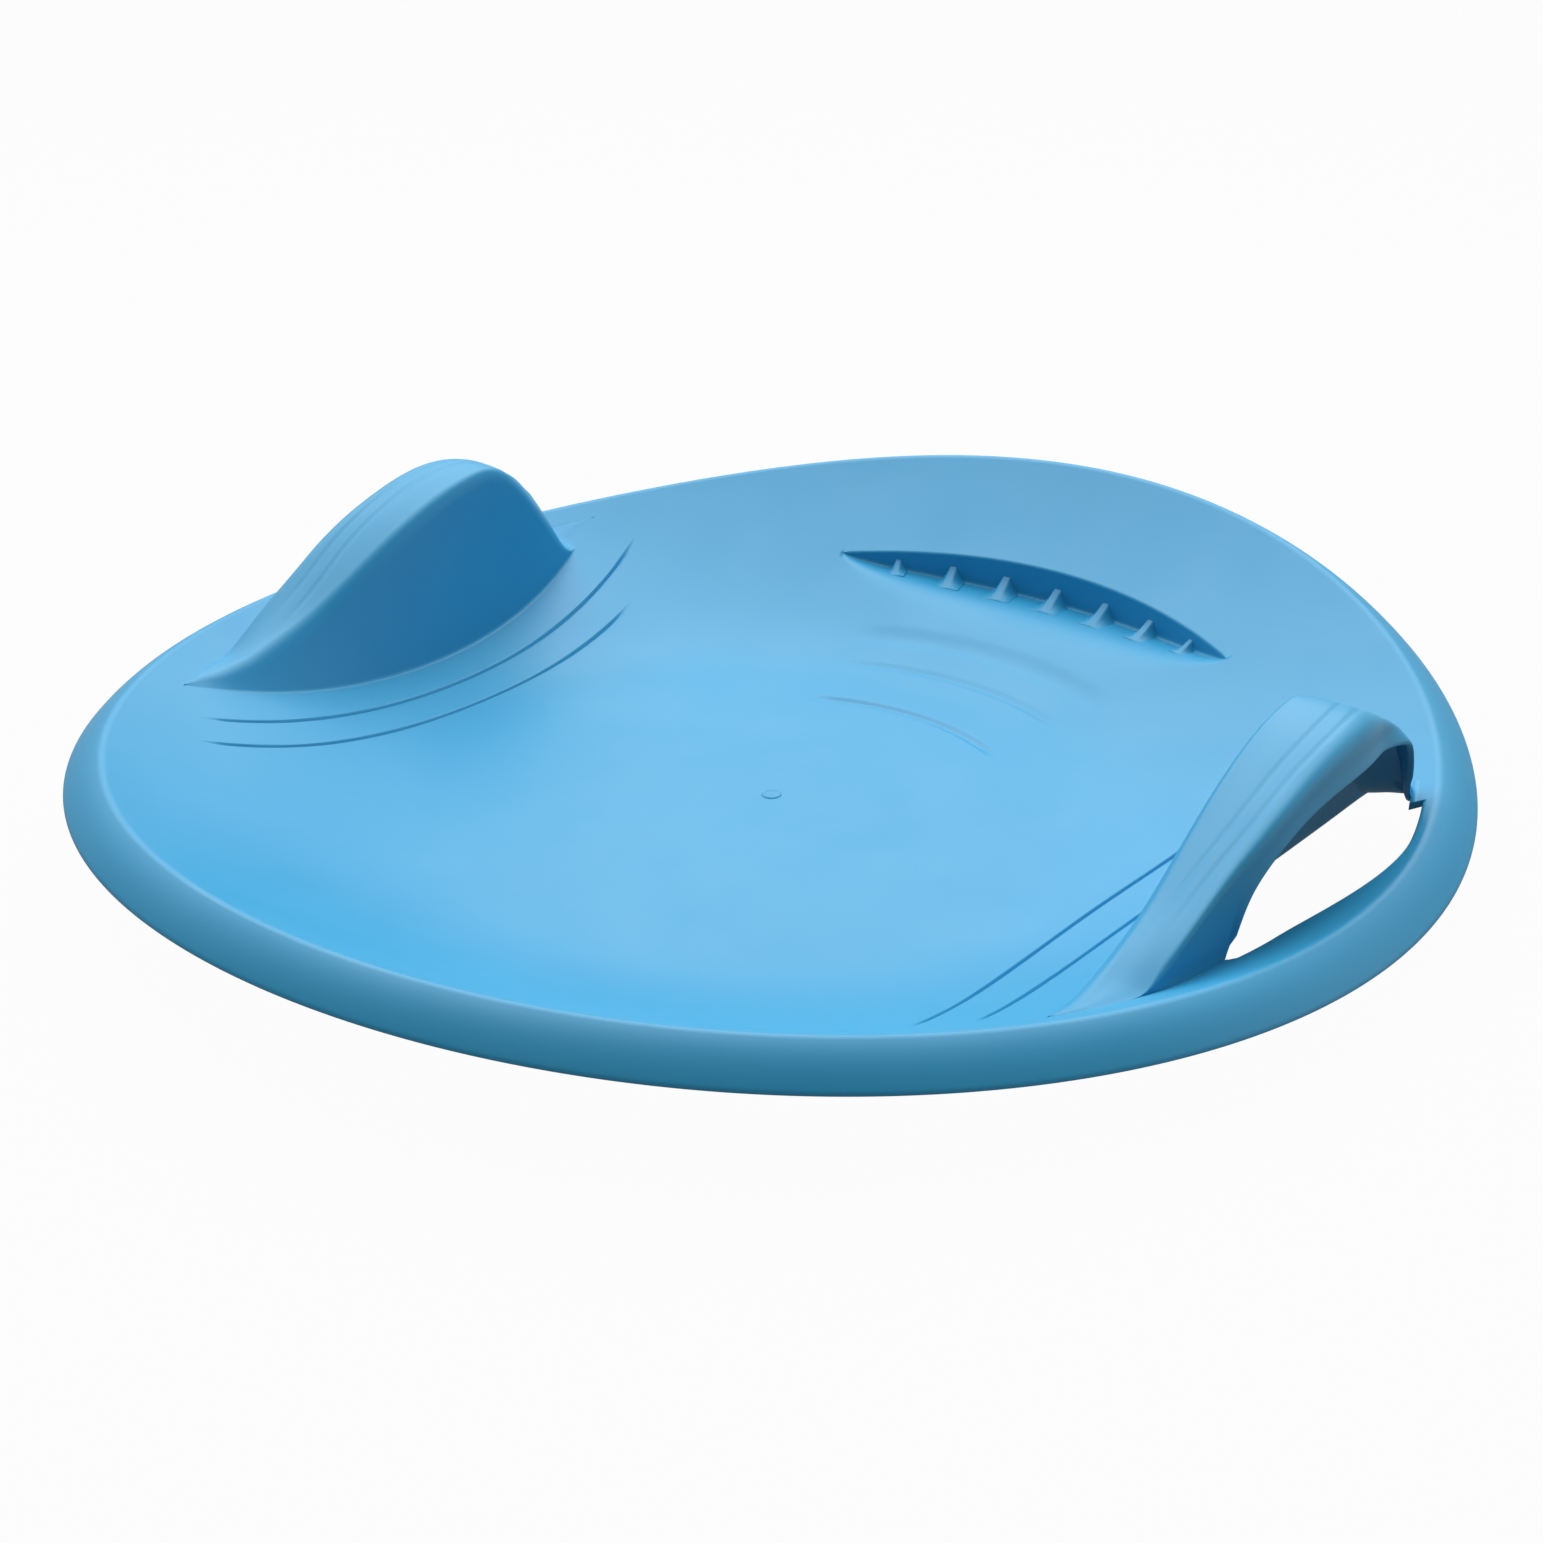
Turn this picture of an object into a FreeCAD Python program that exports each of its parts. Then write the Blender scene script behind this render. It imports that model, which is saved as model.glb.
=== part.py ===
import FreeCAD, Part
import Sketcher
import math
import os

# Saucer sled, one moulding divided along its feature lines, in millimetres.
# The origin is the middle of the flat underside, +Y is the front, +X the rider's right, +Z is up.
# Angles on the saucer are measured from the front, +Y, towards the rider's right, +X.

Vector = FreeCAD.Vector
doc = FreeCAD.newDocument("SaucerSled")
sheet = doc.addObject("Spreadsheet::Sheet", "Sizes")

SIZES = [
    # Saucer
    ("outer_radius", 300.0, "reach of the skirt's lower edge"),
    ("skirt_reach", 16.8, "how far the skirt stands out from the crest"),
    ("skirt_drop", 13.1, "how far the skirt falls below the crest"),
    ("crest_round", 5.0, "half width of the rounded crest"),
    ("rail_land", 13.2, "land between the crest and the hand hole"),
    ("floor_radius", 130.0, "radius of the flat floor, and where the front starts to rise"),
    ("seat_radius", 156.0, "where the sides and the rear start to rise"),
    ("wall", 3.0, "wall of the moulding"),
    ("front_rise", 74.6, "crest above the floor at the front"),
    ("side_rise", 37.4, "crest above the floor at the sides"),
    ("rear_rise", 55.1, "crest above the floor at the rear"),
    ("nose_lift", 3.15, "extra lift that sharpens the front"),
    ("diagonal_ease", 0.7, "fall of the crest at the diagonals"),
    ("bowl_power", 1.594, "power of the dish's rise"),
    ("side_half_angle", 42.0, "half angle of each side zone"),
    # Moulding mark
    ("gate_radius", 4.5, "radius of the moulding mark"),
    ("gate_height", 0.6, "height of the moulding mark"),
    # Handles
    ("slot_width", 12.0, "clear width between the lip and the rail"),
    ("handle_depth", 53.2, "from the handle's foot to its lip, at the middle"),
    ("foot_arc_radius", 343.0, "radius of the handle's foot line"),
    ("wall_lean", 18.0, "how far the handle's wall leans out"),
    ("lean_middle", -20.0, "place along Y where the wall leans most"),
    ("crest_lift", 75.0, "handle's inner crest above the dish"),
    ("crest_middle", 38.0, "place along Y of the inner crest's peak"),
    ("crest_power", 1.6, "power of the inner crest's fall"),
    ("lip_lift", 61.0, "handle's outer shoulder above the dish"),
    ("lip_middle", 52.0, "place along Y of the shoulder's peak"),
    ("lip_power", 0.8, "power of the shoulder's fall"),
    ("lip_rear_setback", 34.0, "from the handle's rear tip to where its shoulder starts to rise"),
    ("hole_lift", 47.0, "lip's lower edge above the dish's underside"),
    ("hole_middle", 45.0, "place along Y of the hand hole's highest point"),
    ("hole_power", 0.45, "power of the hand hole's arch"),
    ("hole_rear_setback", 72.0, "from the handle's rear tip to the hand hole"),
    ("hole_front_setback", 6.0, "from the handle's front tip to the hand hole"),
    ("rear_end_setback", 17.0, "from the handle's rear tip to its blunt end"),
    ("front_end_setback", 14.0, "from the handle's front tip to its blunt end"),
    ("edge_round", 2.0, "break of the handle's crest and shoulder edges"),
    # Foot rest
    ("step_setback", 38.5, "from the rim to the back of the foot rest's wall"),
    ("step_half_angle", 29.0, "half angle of the foot rest"),
    ("step_height", 15.8, "height of the foot rest's wall above its ends"),
    ("step_end_height", 1.5, "height of the foot rest's wall at its ends"),
    ("step_depth", 27.0, "depth of the foot rest's floor beyond its ends"),
    ("step_end_depth", 5.0, "depth of the foot rest's floor at its ends"),
    ("tooth_pitch", 29.9, "spacing of the gussets along the foot rest's wall"),
    ("tooth_length", 8.0, "length of a gusset on the floor"),
    ("tooth_height", 7.5, "height of a gusset on the wall"),
    ("tooth_width", 2.6, "thickness of a gusset"),
]
for row, (name, value, note) in enumerate(SIZES, start=1):
    sheet.set(f"A{row}", name)
    sheet.set(f"B{row}", str(value))
    sheet.set(f"C{row}", note)
    sheet.setAlias(f"B{row}", name)
doc.recompute()

# Sampling of the curved sheets: these numbers set how closely they are followed, not any size.
ANGLE_STEP = 4.0
BOWL_RINGS = 15
RIM_RINGS = 13
HANDLE_STATIONS = 18
STEP_STATIONS = 15
# Gussets in the foot rest.
TOOTH_COUNT = 7


def size(name):
    """A driving dimension from the sheet."""
    return float(sheet.get(name))


wall = size("wall")
outer_radius = size("outer_radius")
crest_radius = outer_radius - size("skirt_reach")
rail_radius = crest_radius - size("rail_land")
lip_radius = rail_radius - size("slot_width")
foot_reach = lip_radius - size("handle_depth")
foot_arc_radius = size("foot_arc_radius")
foot_centre = foot_reach + foot_arc_radius
sheet_fall = Vector(0, 0, -wall)


# Dish and crest

def at(radius, angle, height):
    """A point at a radius and an angle from the front."""
    return Vector(radius * math.sin(angle), radius * math.cos(angle), height)


def rise(angle):
    """Height of the crest above the floor's top."""
    ends = (size("front_rise") + size("rear_rise")) / 2
    saddle = (ends - size("side_rise")) / 2
    mean = (ends + size("side_rise")) / 2 - size("diagonal_ease")
    tilt = (size("front_rise") - size("rear_rise")) / 2 - size("nose_lift")
    waves = tilt * math.cos(angle) + saddle * math.cos(2 * angle)
    waves += size("nose_lift") * math.cos(3 * angle) + size("diagonal_ease") * math.cos(4 * angle)
    return mean + waves


def flat_reach(angle):
    """Radius at which the floor starts to rise."""
    forward = max(math.cos(angle), 0.0)
    return size("seat_radius") - (size("seat_radius") - size("floor_radius")) * forward ** 2


def bowl_top(radius, angle):
    """Height of the dish's upper face."""
    start = flat_reach(angle)
    share = max(radius - start, 0.0) / (crest_radius - start)
    return wall + rise(angle) * share ** size("bowl_power")


def bowl_top_at(x, y):
    """Height of the dish's upper face at a point in plan."""
    return bowl_top(math.hypot(x, y), math.atan2(x, y))


def rim_top(radius, angle):
    """Height of the rim: the dish's edge, the rounded crest and the sloping skirt."""
    half = size("crest_round")
    inner = crest_radius - half
    if radius <= inner:
        return bowl_top(radius, angle)
    slope_in = rise(angle) * size("bowl_power") / (crest_radius - flat_reach(angle))
    slope_out = -size("skirt_drop") / size("skirt_reach")
    rounded = min(radius - inner, 2 * half)
    height = bowl_top(inner, angle) + slope_in * rounded
    height += (slope_out - slope_in) * rounded ** 2 / (4 * half)
    return height + slope_out * max(radius - crest_radius - half, 0.0)


def spread(first, last, count):
    """Evenly spaced values, ends included."""
    return [first + (last - first) * step / (count - 1) for step in range(count)]


def sector_sheet(first_angle, last_angle, inner, outer, rings, height):
    """A curved sheet between two angles and two radii, one wall thick."""
    columns = 1 + math.ceil((last_angle - first_angle) / ANGLE_STEP)
    angles = [math.radians(angle) for angle in spread(first_angle, last_angle, columns)]
    radii = spread(inner, outer, rings)
    grid = [[at(radius, angle, height(radius, angle)) for radius in radii] for angle in angles]
    surface = Part.BSplineSurface()
    surface.interpolate(grid)
    return surface.toShape().extrude(sheet_fall)


def add_shape(label, shape):
    """A sub-part whose shape is worked out from the sheet."""
    feature = doc.addObject("Part::Feature", label)
    feature.Label = label
    feature.Shape = shape
    feature.Placement = FreeCAD.Placement()
    return feature


def add_mirror(label, source):
    """The left-hand twin of a right-hand sub-part."""
    mirror = doc.addObject("Part::Mirroring", label)
    mirror.Label = label
    mirror.Source = source
    mirror.Base = Vector(0, 0, 0)
    mirror.Normal = Vector(1, 0, 0)
    return mirror


def prism(points_and_arcs):
    """A tall upright cutter from edges in plan."""
    wire = Part.Wire(Part.__sortEdges__(points_and_arcs))
    tall = size("front_rise") + size("crest_lift") + wall
    base = Part.Face(wire).translated(Vector(0, 0, -tall))
    return base.extrude(Vector(0, 0, 2 * tall))


def plan_arc(radius, first, last):
    """An arc about the middle of the saucer, in plan."""
    return Part.Arc(at(radius, first, 0), at(radius, (first + last) / 2, 0), at(radius, last, 0)).toShape()


def plan_line(start, end):
    """A straight edge."""
    return Part.LineSegment(start, end).toShape()


# Handle curves, for the right-hand handle. Its plan is a lens between the foot line and the lip.

lens_x = (foot_centre ** 2 + lip_radius ** 2 - foot_arc_radius ** 2) / (2 * foot_centre)
tip = math.sqrt(lip_radius ** 2 - lens_x ** 2)
rear_end = -(tip - size("rear_end_setback"))
front_end = tip - size("front_end_setback")
hole_rear = -(tip - size("hole_rear_setback"))
hole_front = tip - size("hole_front_setback")


def bell(y, height, rear, middle, front, power):
    """A smooth rise and fall along Y, nothing at its two ends."""
    span = middle - rear if y < middle else front - middle
    share = min(abs(y - middle) / span, 1.0)
    return height * max(math.cos(share * math.pi / 2), 0.0) ** power


def foot_x(y):
    """The handle's foot line."""
    return foot_centre - math.sqrt(foot_arc_radius ** 2 - y ** 2)


def lip_x(y):
    """The outer face of the handle's lip."""
    return math.sqrt(lip_radius ** 2 - y ** 2)


def crest_point(y):
    """The handle's inner crest: X and Z."""
    x = foot_x(y) + bell(y, size("wall_lean"), -tip, size("lean_middle"), tip, 1.0)
    lift = bell(y, size("crest_lift"), -tip, size("crest_middle"), tip, size("crest_power"))
    return x, bowl_top_at(x, y) + lift


def shoulder_height(y):
    """Top of the lip."""
    rear = -(tip - size("lip_rear_setback"))
    lift = bell(y, size("lip_lift"), rear, size("lip_middle"), tip, size("lip_power"))
    return bowl_top_at(lip_x(y), y) + lift


def hole_height(y):
    """Lower edge of the lip, at the dish's underside where there is no hand hole."""
    lift = bell(y, size("hole_lift"), hole_rear, size("hole_middle"), hole_front, size("hole_power"))
    highest = shoulder_height(y) - wall
    return min(bowl_top_at(lip_x(y), y) - wall + lift, highest)


def handle_loft(outline):
    """A solid through outlines that stand square to Y along the handle."""
    sections = []
    for y in spread(rear_end, front_end, HANDLE_STATIONS):
        corners = [Vector(x, y, z) for x, z in outline(y)]
        sections.append(Part.makePolygon(corners + corners[:1]))
    return Part.makeLoft(sections, True, False)


def wall_outline(y):
    """Inner wall, from the dish up to the band."""
    crest_x, crest_z = crest_point(y)
    foot_z = bowl_top_at(foot_x(y), y)
    return [
        (foot_x(y), foot_z - wall),
        (foot_x(y), foot_z),
        (crest_x, crest_z - wall),
        (crest_x + wall, crest_z - wall),
        (foot_x(y) + wall, foot_z - wall),
    ]


def band_outline(y):
    """Grip band, from the crest to the lip."""
    crest_x, crest_z = crest_point(y)
    edge = size("edge_round")
    lip_inside = lip_x(y) - wall
    outer_z = shoulder_height(y)
    return [
        (crest_x, crest_z - wall),
        (crest_x, crest_z - edge),
        (crest_x + edge, crest_z),
        (lip_inside, outer_z),
        (lip_inside, outer_z - wall),
        (crest_x + wall, crest_z - wall),
    ]


def lip_outline(y):
    """Turned-down lip over the hand hole."""
    outside = lip_x(y)
    outer_z = shoulder_height(y)
    edge = size("edge_round")
    return [
        (outside - wall, hole_height(y)),
        (outside - wall, outer_z),
        (outside - edge, outer_z),
        (outside, outer_z - edge),
        (outside, hole_height(y)),
    ]


def handle_cutter():
    """The part of the side dish that the handle and its hand hole take the place of."""
    foot = [Vector(foot_x(y), y, 0) for y in (rear_end, 0.0, front_end)]
    lip = [Vector(lip_x(y), y, 0) for y in (rear_end, 0.0, front_end)]
    lens = prism([
        Part.Arc(*foot).toShape(),
        plan_line(foot[2], lip[2]),
        Part.Arc(*lip).toShape(),
        plan_line(lip[0], foot[0]),
    ])
    rear_angle = math.atan2(lip_x(hole_rear), hole_rear)
    front_angle = math.atan2(lip_x(hole_front), hole_front)
    beyond = rail_radius + size("rail_land") / 2
    inside = lip_radius - wall
    slot = prism([
        plan_arc(inside, front_angle, rear_angle),
        plan_line(at(inside, rear_angle, 0), at(beyond, rear_angle, 0)),
        plan_arc(beyond, front_angle, rear_angle),
        plan_line(at(inside, front_angle, 0), at(beyond, front_angle, 0)),
    ])
    return lens.fuse(slot)


# Foot rest: a crescent pocket in the front of the dish, with a wall that faces the rider.

step_radius = rail_radius - size("step_setback") - wall
step_half_angle = math.radians(size("step_half_angle"))
step_angles = spread(-step_half_angle, step_half_angle, STEP_STATIONS)


def crescent(angle, middle, end):
    """A size that grows from the ends of the foot rest to its middle."""
    return end + middle * (1 - (angle / step_half_angle) ** 2)


def step_base(angle):
    """Height of the pocket's floor at the foot of the wall."""
    fall = crescent(angle, size("step_height"), size("step_end_height"))
    return bowl_top(step_radius, angle) - fall


def step_inner(angle):
    """Radius at which the pocket's floor leaves the dish."""
    return step_radius - crescent(angle, size("step_depth"), size("step_end_depth"))


def radial_loft(outline):
    """A solid through outlines that stand on the radii of the foot rest."""
    sections = []
    for angle in step_angles:
        corners = [at(radius, angle, height) for radius, height in outline(angle)]
        sections.append(Part.makePolygon(corners + corners[:1]))
    return Part.makeLoft(sections, True, False)


def step_wall_outline(angle):
    """Wall of the foot rest."""
    back = step_radius + wall
    return [
        (step_radius, step_base(angle) - wall),
        (step_radius, bowl_top(step_radius, angle)),
        (back, bowl_top(back, angle)),
        (back, step_base(angle) - wall),
    ]


def step_floor_outline(angle):
    """Floor of the foot rest."""
    inner = step_inner(angle)
    edge = bowl_top(inner, angle)
    return [
        (inner, edge - wall),
        (inner, edge),
        (step_radius, step_base(angle)),
        (step_radius, step_base(angle) - wall),
    ]


def crescent_cutter():
    """The part of the front dish that the foot rest takes the place of."""
    back = step_radius + wall
    inner = Part.BSplineCurve()
    inner.interpolate([at(step_inner(angle), angle, 0) for angle in step_angles])
    ends = []
    for angle in (-step_half_angle, step_half_angle):
        ends.append(plan_line(at(step_inner(angle), angle, 0), at(back, angle, 0)))
    return prism([inner.toShape(), ends[0], plan_arc(back, -step_half_angle, step_half_angle), ends[1]])


def tooth(angle):
    """One upright gusset between the wall and the floor of the foot rest."""
    inner = step_inner(angle)
    floor_slope = (step_base(angle) - bowl_top(inner, angle)) / (step_radius - inner)
    toe = step_radius - size("tooth_length")
    toe_z = step_base(angle) - floor_slope * size("tooth_length")
    corners = [
        at(step_radius, angle, step_base(angle)),
        at(step_radius, angle, step_base(angle) + size("tooth_height")),
        at(toe, angle, toe_z),
    ]
    across = Vector(math.cos(angle), -math.sin(angle), 0) * size("tooth_width")
    face = Part.Face(Part.makePolygon(corners + corners[:1]))
    return face.translated(across * -0.5).extrude(across)


# Floor: a padded disc.

def plane_of(body, role):
    """One of a body's own origin planes."""
    return [plane for plane in body.Origin.OriginFeatures if plane.Role == role][0]


floor_pan = doc.addObject("PartDesign::Body", "floor_pan")
floor_pan.Label = "floor_pan"
floor_sketch = floor_pan.newObject("Sketcher::SketchObject", "floor_outline")
floor_sketch.AttachmentSupport = (plane_of(floor_pan, "XY_Plane"), [""])
floor_sketch.MapMode = "FlatFace"
floor_sketch.addGeometry(Part.Circle(Vector(0, 0, 0), Vector(0, 0, 1), size("floor_radius")))
floor_sketch.addConstraint(Sketcher.Constraint("Coincident", 0, 3, -1, 1))
floor_sketch.addConstraint(Sketcher.Constraint("Radius", 0, size("floor_radius")))
floor_sketch.setExpression("Constraints[1]", "Sizes.floor_radius")
floor_pad = floor_pan.newObject("PartDesign::Pad", "floor_pad")
floor_pad.Profile = floor_sketch
floor_pad.setExpression("Length", "Sizes.wall")
floor_pan.Tip = floor_pad

# Moulding mark: a low disc in the middle of the floor.

gate_boss = doc.addObject("Part::Cylinder", "gate_boss")
gate_boss.Label = "gate_boss"
gate_boss.setExpression("Radius", "Sizes.gate_radius")
gate_boss.setExpression("Height", "Sizes.gate_height")
gate_boss.setExpression("Placement.Base.z", "Sizes.wall")

# Dish and rim, in four zones each.

side = size("side_half_angle")
side_span = (90 - side, 90 + side)
front_span = (side - 90, 90 - side)
rear_span = (90 + side, 270 - side)


def bowl_sheet(span):
    """The dish between two angles."""
    return sector_sheet(*span, size("floor_radius"), rail_radius, BOWL_RINGS, bowl_top)


def rim_sheet(span):
    """The rim between two angles."""
    return sector_sheet(*span, rail_radius, outer_radius, RIM_RINGS, rim_top)


front_bowl = add_shape("front_bowl", bowl_sheet(front_span).cut(crescent_cutter()))
rear_bowl = add_shape("rear_bowl", bowl_sheet(rear_span))
right_bowl = add_shape("right_bowl", bowl_sheet(side_span).cut(handle_cutter()))
left_bowl = add_mirror("left_bowl", right_bowl)
front_rim = add_shape("front_rim", rim_sheet(front_span))
rear_rim = add_shape("rear_rim", rim_sheet(rear_span))
right_rail = add_shape("right_rail", rim_sheet(side_span))
left_rail = add_mirror("left_rail", right_rail)

# Handles

right_handle_wall = add_shape("right_handle_wall", handle_loft(wall_outline))
right_handle_band = add_shape("right_handle_band", handle_loft(band_outline))
right_handle_lip = add_shape("right_handle_lip", handle_loft(lip_outline))
left_handle_wall = add_mirror("left_handle_wall", right_handle_wall)
left_handle_band = add_mirror("left_handle_band", right_handle_band)
left_handle_lip = add_mirror("left_handle_lip", right_handle_lip)

# Foot rest

middle_tooth = (TOOTH_COUNT - 1) / 2
tooth_turn = size("tooth_pitch") / step_radius
tooth_angles = [tooth_turn * (place - middle_tooth) for place in range(TOOTH_COUNT)]
foot_rest_wall = add_shape("foot_rest_wall", radial_loft(step_wall_outline))
foot_rest_floor = add_shape("foot_rest_floor", radial_loft(step_floor_outline))
foot_rest_teeth = add_shape("foot_rest_teeth", Part.makeCompound([tooth(angle) for angle in tooth_angles]))

doc.recompute()

SUB_PARTS = [
    floor_pan, gate_boss,
    front_bowl, rear_bowl, left_bowl, right_bowl,
    front_rim, rear_rim, left_rail, right_rail,
    left_handle_wall, right_handle_wall,
    left_handle_band, right_handle_band,
    left_handle_lip, right_handle_lip,
    foot_rest_wall, foot_rest_floor, foot_rest_teeth,
]

for thing in doc.Objects:
    if "Invalid" in thing.State or "Error" in thing.State:
        raise RuntimeError(f"{thing.Name} failed: {thing.State}")
for part in SUB_PARTS:
    if part.Shape.isNull() or not part.Shape.isValid() or not part.Shape.Solids:
        raise RuntimeError(f"{part.Label} has no valid solid")

os.makedirs("parts", exist_ok=True)
for part in SUB_PARTS:
    part.Shape.exportStep(f"parts/{part.Label}.step")
    print(part.Label, len(part.Shape.Solids), "solids", round(part.Shape.Volume), "mm3")
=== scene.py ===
"""A moulded saucer sled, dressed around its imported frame, with a studio to show it in."""

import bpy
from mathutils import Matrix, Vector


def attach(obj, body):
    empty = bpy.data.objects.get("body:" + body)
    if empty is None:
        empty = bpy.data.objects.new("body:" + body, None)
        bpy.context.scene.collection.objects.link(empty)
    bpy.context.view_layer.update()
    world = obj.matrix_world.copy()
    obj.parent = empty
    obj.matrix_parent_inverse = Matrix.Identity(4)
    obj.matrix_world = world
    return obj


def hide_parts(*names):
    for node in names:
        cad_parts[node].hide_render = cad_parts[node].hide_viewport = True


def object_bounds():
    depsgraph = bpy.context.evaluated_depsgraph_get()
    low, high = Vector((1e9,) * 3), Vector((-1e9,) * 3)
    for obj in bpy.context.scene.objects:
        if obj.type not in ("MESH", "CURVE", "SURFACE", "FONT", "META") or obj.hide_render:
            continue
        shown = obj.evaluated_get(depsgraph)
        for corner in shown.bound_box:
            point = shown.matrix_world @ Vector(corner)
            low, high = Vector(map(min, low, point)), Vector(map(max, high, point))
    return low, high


bl_info = {
    "name": "Saucer sled",
    "version": (1, 0, 0),
    "blender": (4, 5, 0),
    "location": "View3D > Sidebar > Sled",
    "description": "Builds a moulded saucer sled around its packed frame and sets up a plain studio",
    "category": "Object",
}

import math

import bpy
import numpy as np
from bpy.props import FloatProperty, FloatVectorProperty, IntProperty, PointerProperty
from mathutils import Vector

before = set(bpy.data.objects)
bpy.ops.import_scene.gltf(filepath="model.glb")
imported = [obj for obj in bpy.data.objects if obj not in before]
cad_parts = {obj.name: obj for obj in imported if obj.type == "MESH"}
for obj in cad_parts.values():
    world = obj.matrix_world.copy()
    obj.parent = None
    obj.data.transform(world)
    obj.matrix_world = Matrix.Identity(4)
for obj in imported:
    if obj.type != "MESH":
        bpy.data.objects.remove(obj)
cad_low, cad_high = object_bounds()

# Lengths are in metres. Angles on the saucer start at the front, +Y, and turn towards the rider's right.
MM = 0.001
BODY = "root"

# Points closer than a weld are one point. A length or a normal below the other two has no direction.
WELD = 1e-6
NO_LENGTH = 1e-9
NO_NORMAL = 1e-12

# Step over which the slopes of a face are measured
SLOPE_STEP = 0.02 * MM

# A wall with at least this share of its full thickness counts as whole
WHOLE = 0.999

# Points along and across a handle, and passes that ease its sections and find the rail's border
STATIONS = 221
FOOT_ROWS = 9
WALL_ROWS = 12
CREST_ROWS = 13
BAND_ROWS = 31
SHOULDER_ROWS = 33
LIP_ROWS = 7
EDGE_ROWS = 7
EASING_PASSES = 10
BORDER_PASSES = 25

# Most of a straight stretch that the round beside it may take
FOOT_SHARE = 0.45
CREST_SHARE = 0.4
SHOULDER_SHARE = 0.55
NOSE_SHARE = 0.75
LIP_SHARE = 0.5

# Most of the foot rest's wall that its top round, its foot round and its thickness may take
STEP_EDGE_SHARE = 0.45
STEP_FOOT_SHARE = 0.4
STEP_WALL_SHARE = 0.3

# Rows across a rim, beyond the rounds of the skirt's lower edge and of the inner border
SKIRT_STEPS = np.array([1.3, 1.9, 2.6]) * MM
BORDER_STEPS = np.arange(2.0, 4.8, 0.4) * MM

# Where the border comes close to the crest, its rows start at this gap and keep this share of their spacing
ROW_GAP = 0.4 * MM
ROW_SQUEEZE = 0.1

# The skirt's underside counts as level where it is no more than this above its lowest
LEVEL_GAP = 0.2 * MM

# Half widths of the finely sampled strips over the moulded lines, in half widths of a line
ARC_MARGIN = 1.15
GROOVE_MARGIN = 1.7

# Least distances of a strip from the handle's foot and from the next strip, in half widths of a strip
FROM_FOOT = 2.5
APART = 3.0

# The moulding mark from its middle to its edge, as shares of its radius and its height
GATE_PROFILE = (
    (0.0, 0.55), (0.16, 0.6), (0.26, 0.2), (0.36, 0.12), (0.66, 0.14),
    (0.78, 0.7), (0.86, 0.9), (0.93, 0.75), (1.0, 0.0),
)

# Shape of a gusset: how soon its flanks reach full height, their power and the power of its ridge
FLANK_SLOPE = 1.35
FLANK_POWER = 1.5
RIDGE_POWER = 1.35

# Detail of the plastic's noises, and the part of a noise that shows
MOTTLE_DETAIL = 3.0
MOTTLE_RANGE = (0.3, 0.7)
GRAIN_DETAIL = 2.0
SCUFF_DETAIL = 6.0
SCUFF_RANGE = (0.66, 0.80)

# The scuffs' noise: its scale, and how it is stretched and turned
SCUFF_SCALE = 6.0
SCUFF_STRETCH = (14.0, 90.0, 60.0)
SCUFF_TURN = (0.0, 0.0, math.radians(31))

# Studio floor: rings of its flat part, the radius of its turned-up edge, and where it lies
FLOOR_RINGS = np.array([0.0, 0.5, 1.5, 4.0, 8.0])
FLOOR_CURVE = 3.0
FLOOR_GAP = 0.2 * MM
FLOOR_THICKNESS = 10 * MM

WHITE = (1.0, 1.0, 1.0, 1.0)

# Cosines of the angles from the brightest direction at which the surroundings start and cease to brighten
DOME_START = 0.3
DOME_END = 0.95

# Width of the camera's sensor in millimetres
SENSOR_WIDTH = 36.0


# Kinds of property

def length(description, millimetres):
    """A length, given in millimetres."""
    return FloatProperty(description=description, default=millimetres * MM, unit="LENGTH")


def turn(description, degrees):
    """An angle, given in degrees."""
    return FloatProperty(description=description, default=math.radians(degrees), subtype="ANGLE")


def number(description, value):
    """A plain number."""
    return FloatProperty(description=description, default=value)


def colour(description, value):
    """A colour, as linear red, green and blue."""
    return FloatVectorProperty(description=description, default=value, subtype="COLOR", size=3)


class SaucerSizes(bpy.types.PropertyGroup):
    """Sizes of the dish, its crest and its skirt."""

    outer_radius: length("Reach of the skirt's lower edge", cad_high.y / MM)
    skirt_reach: length("How far the skirt stands out from the crest", 16.8)
    skirt_drop: length("How far the skirt falls below the crest", 13.2)
    skirt_start: number("Fall of the skirt beside the crest, as a slope", 0.48)
    crest_round: length("Half width of the rounded crest", 2.1)
    crest_before: length("How far inside the crest its finely sampled part starts", 3.7)
    edge_round: length("Radius of the skirt's lower edge", 0.8)
    rim_land: length("Land between the crest and the dish", 13.2)
    floor_radius: length("Radius of the flat floor, and where the front starts to rise", 130.0)
    seat_radius: length("Where the sides and the rear start to rise", 156.0)
    wall: length("Wall of the moulding", 3.0)
    front_rise: length("Crest above the floor at the front", 74.6)
    side_rise: length("Crest above the floor at the sides", 37.4)
    rear_rise: length("Crest above the floor at the rear", 55.1)
    nose_lift: length("Extra lift that sharpens the front", 3.15)
    diagonal_ease: length("Half of the crest's fall at the diagonals", 0.7)
    bowl_power: number("Power of the dish's rise", 1.594)
    soft_start: length("Length over which the floor starts to rise", 11.0)
    side_half_angle: turn("Half angle of each side zone", 42.0)
    gate_radius: length("Radius of the moulding mark in the middle", 4.5)
    gate_height: length("Height of the moulding mark", 0.6)
    gate_sink: length("How far the moulding mark is rooted in the floor", 0.2)


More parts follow.
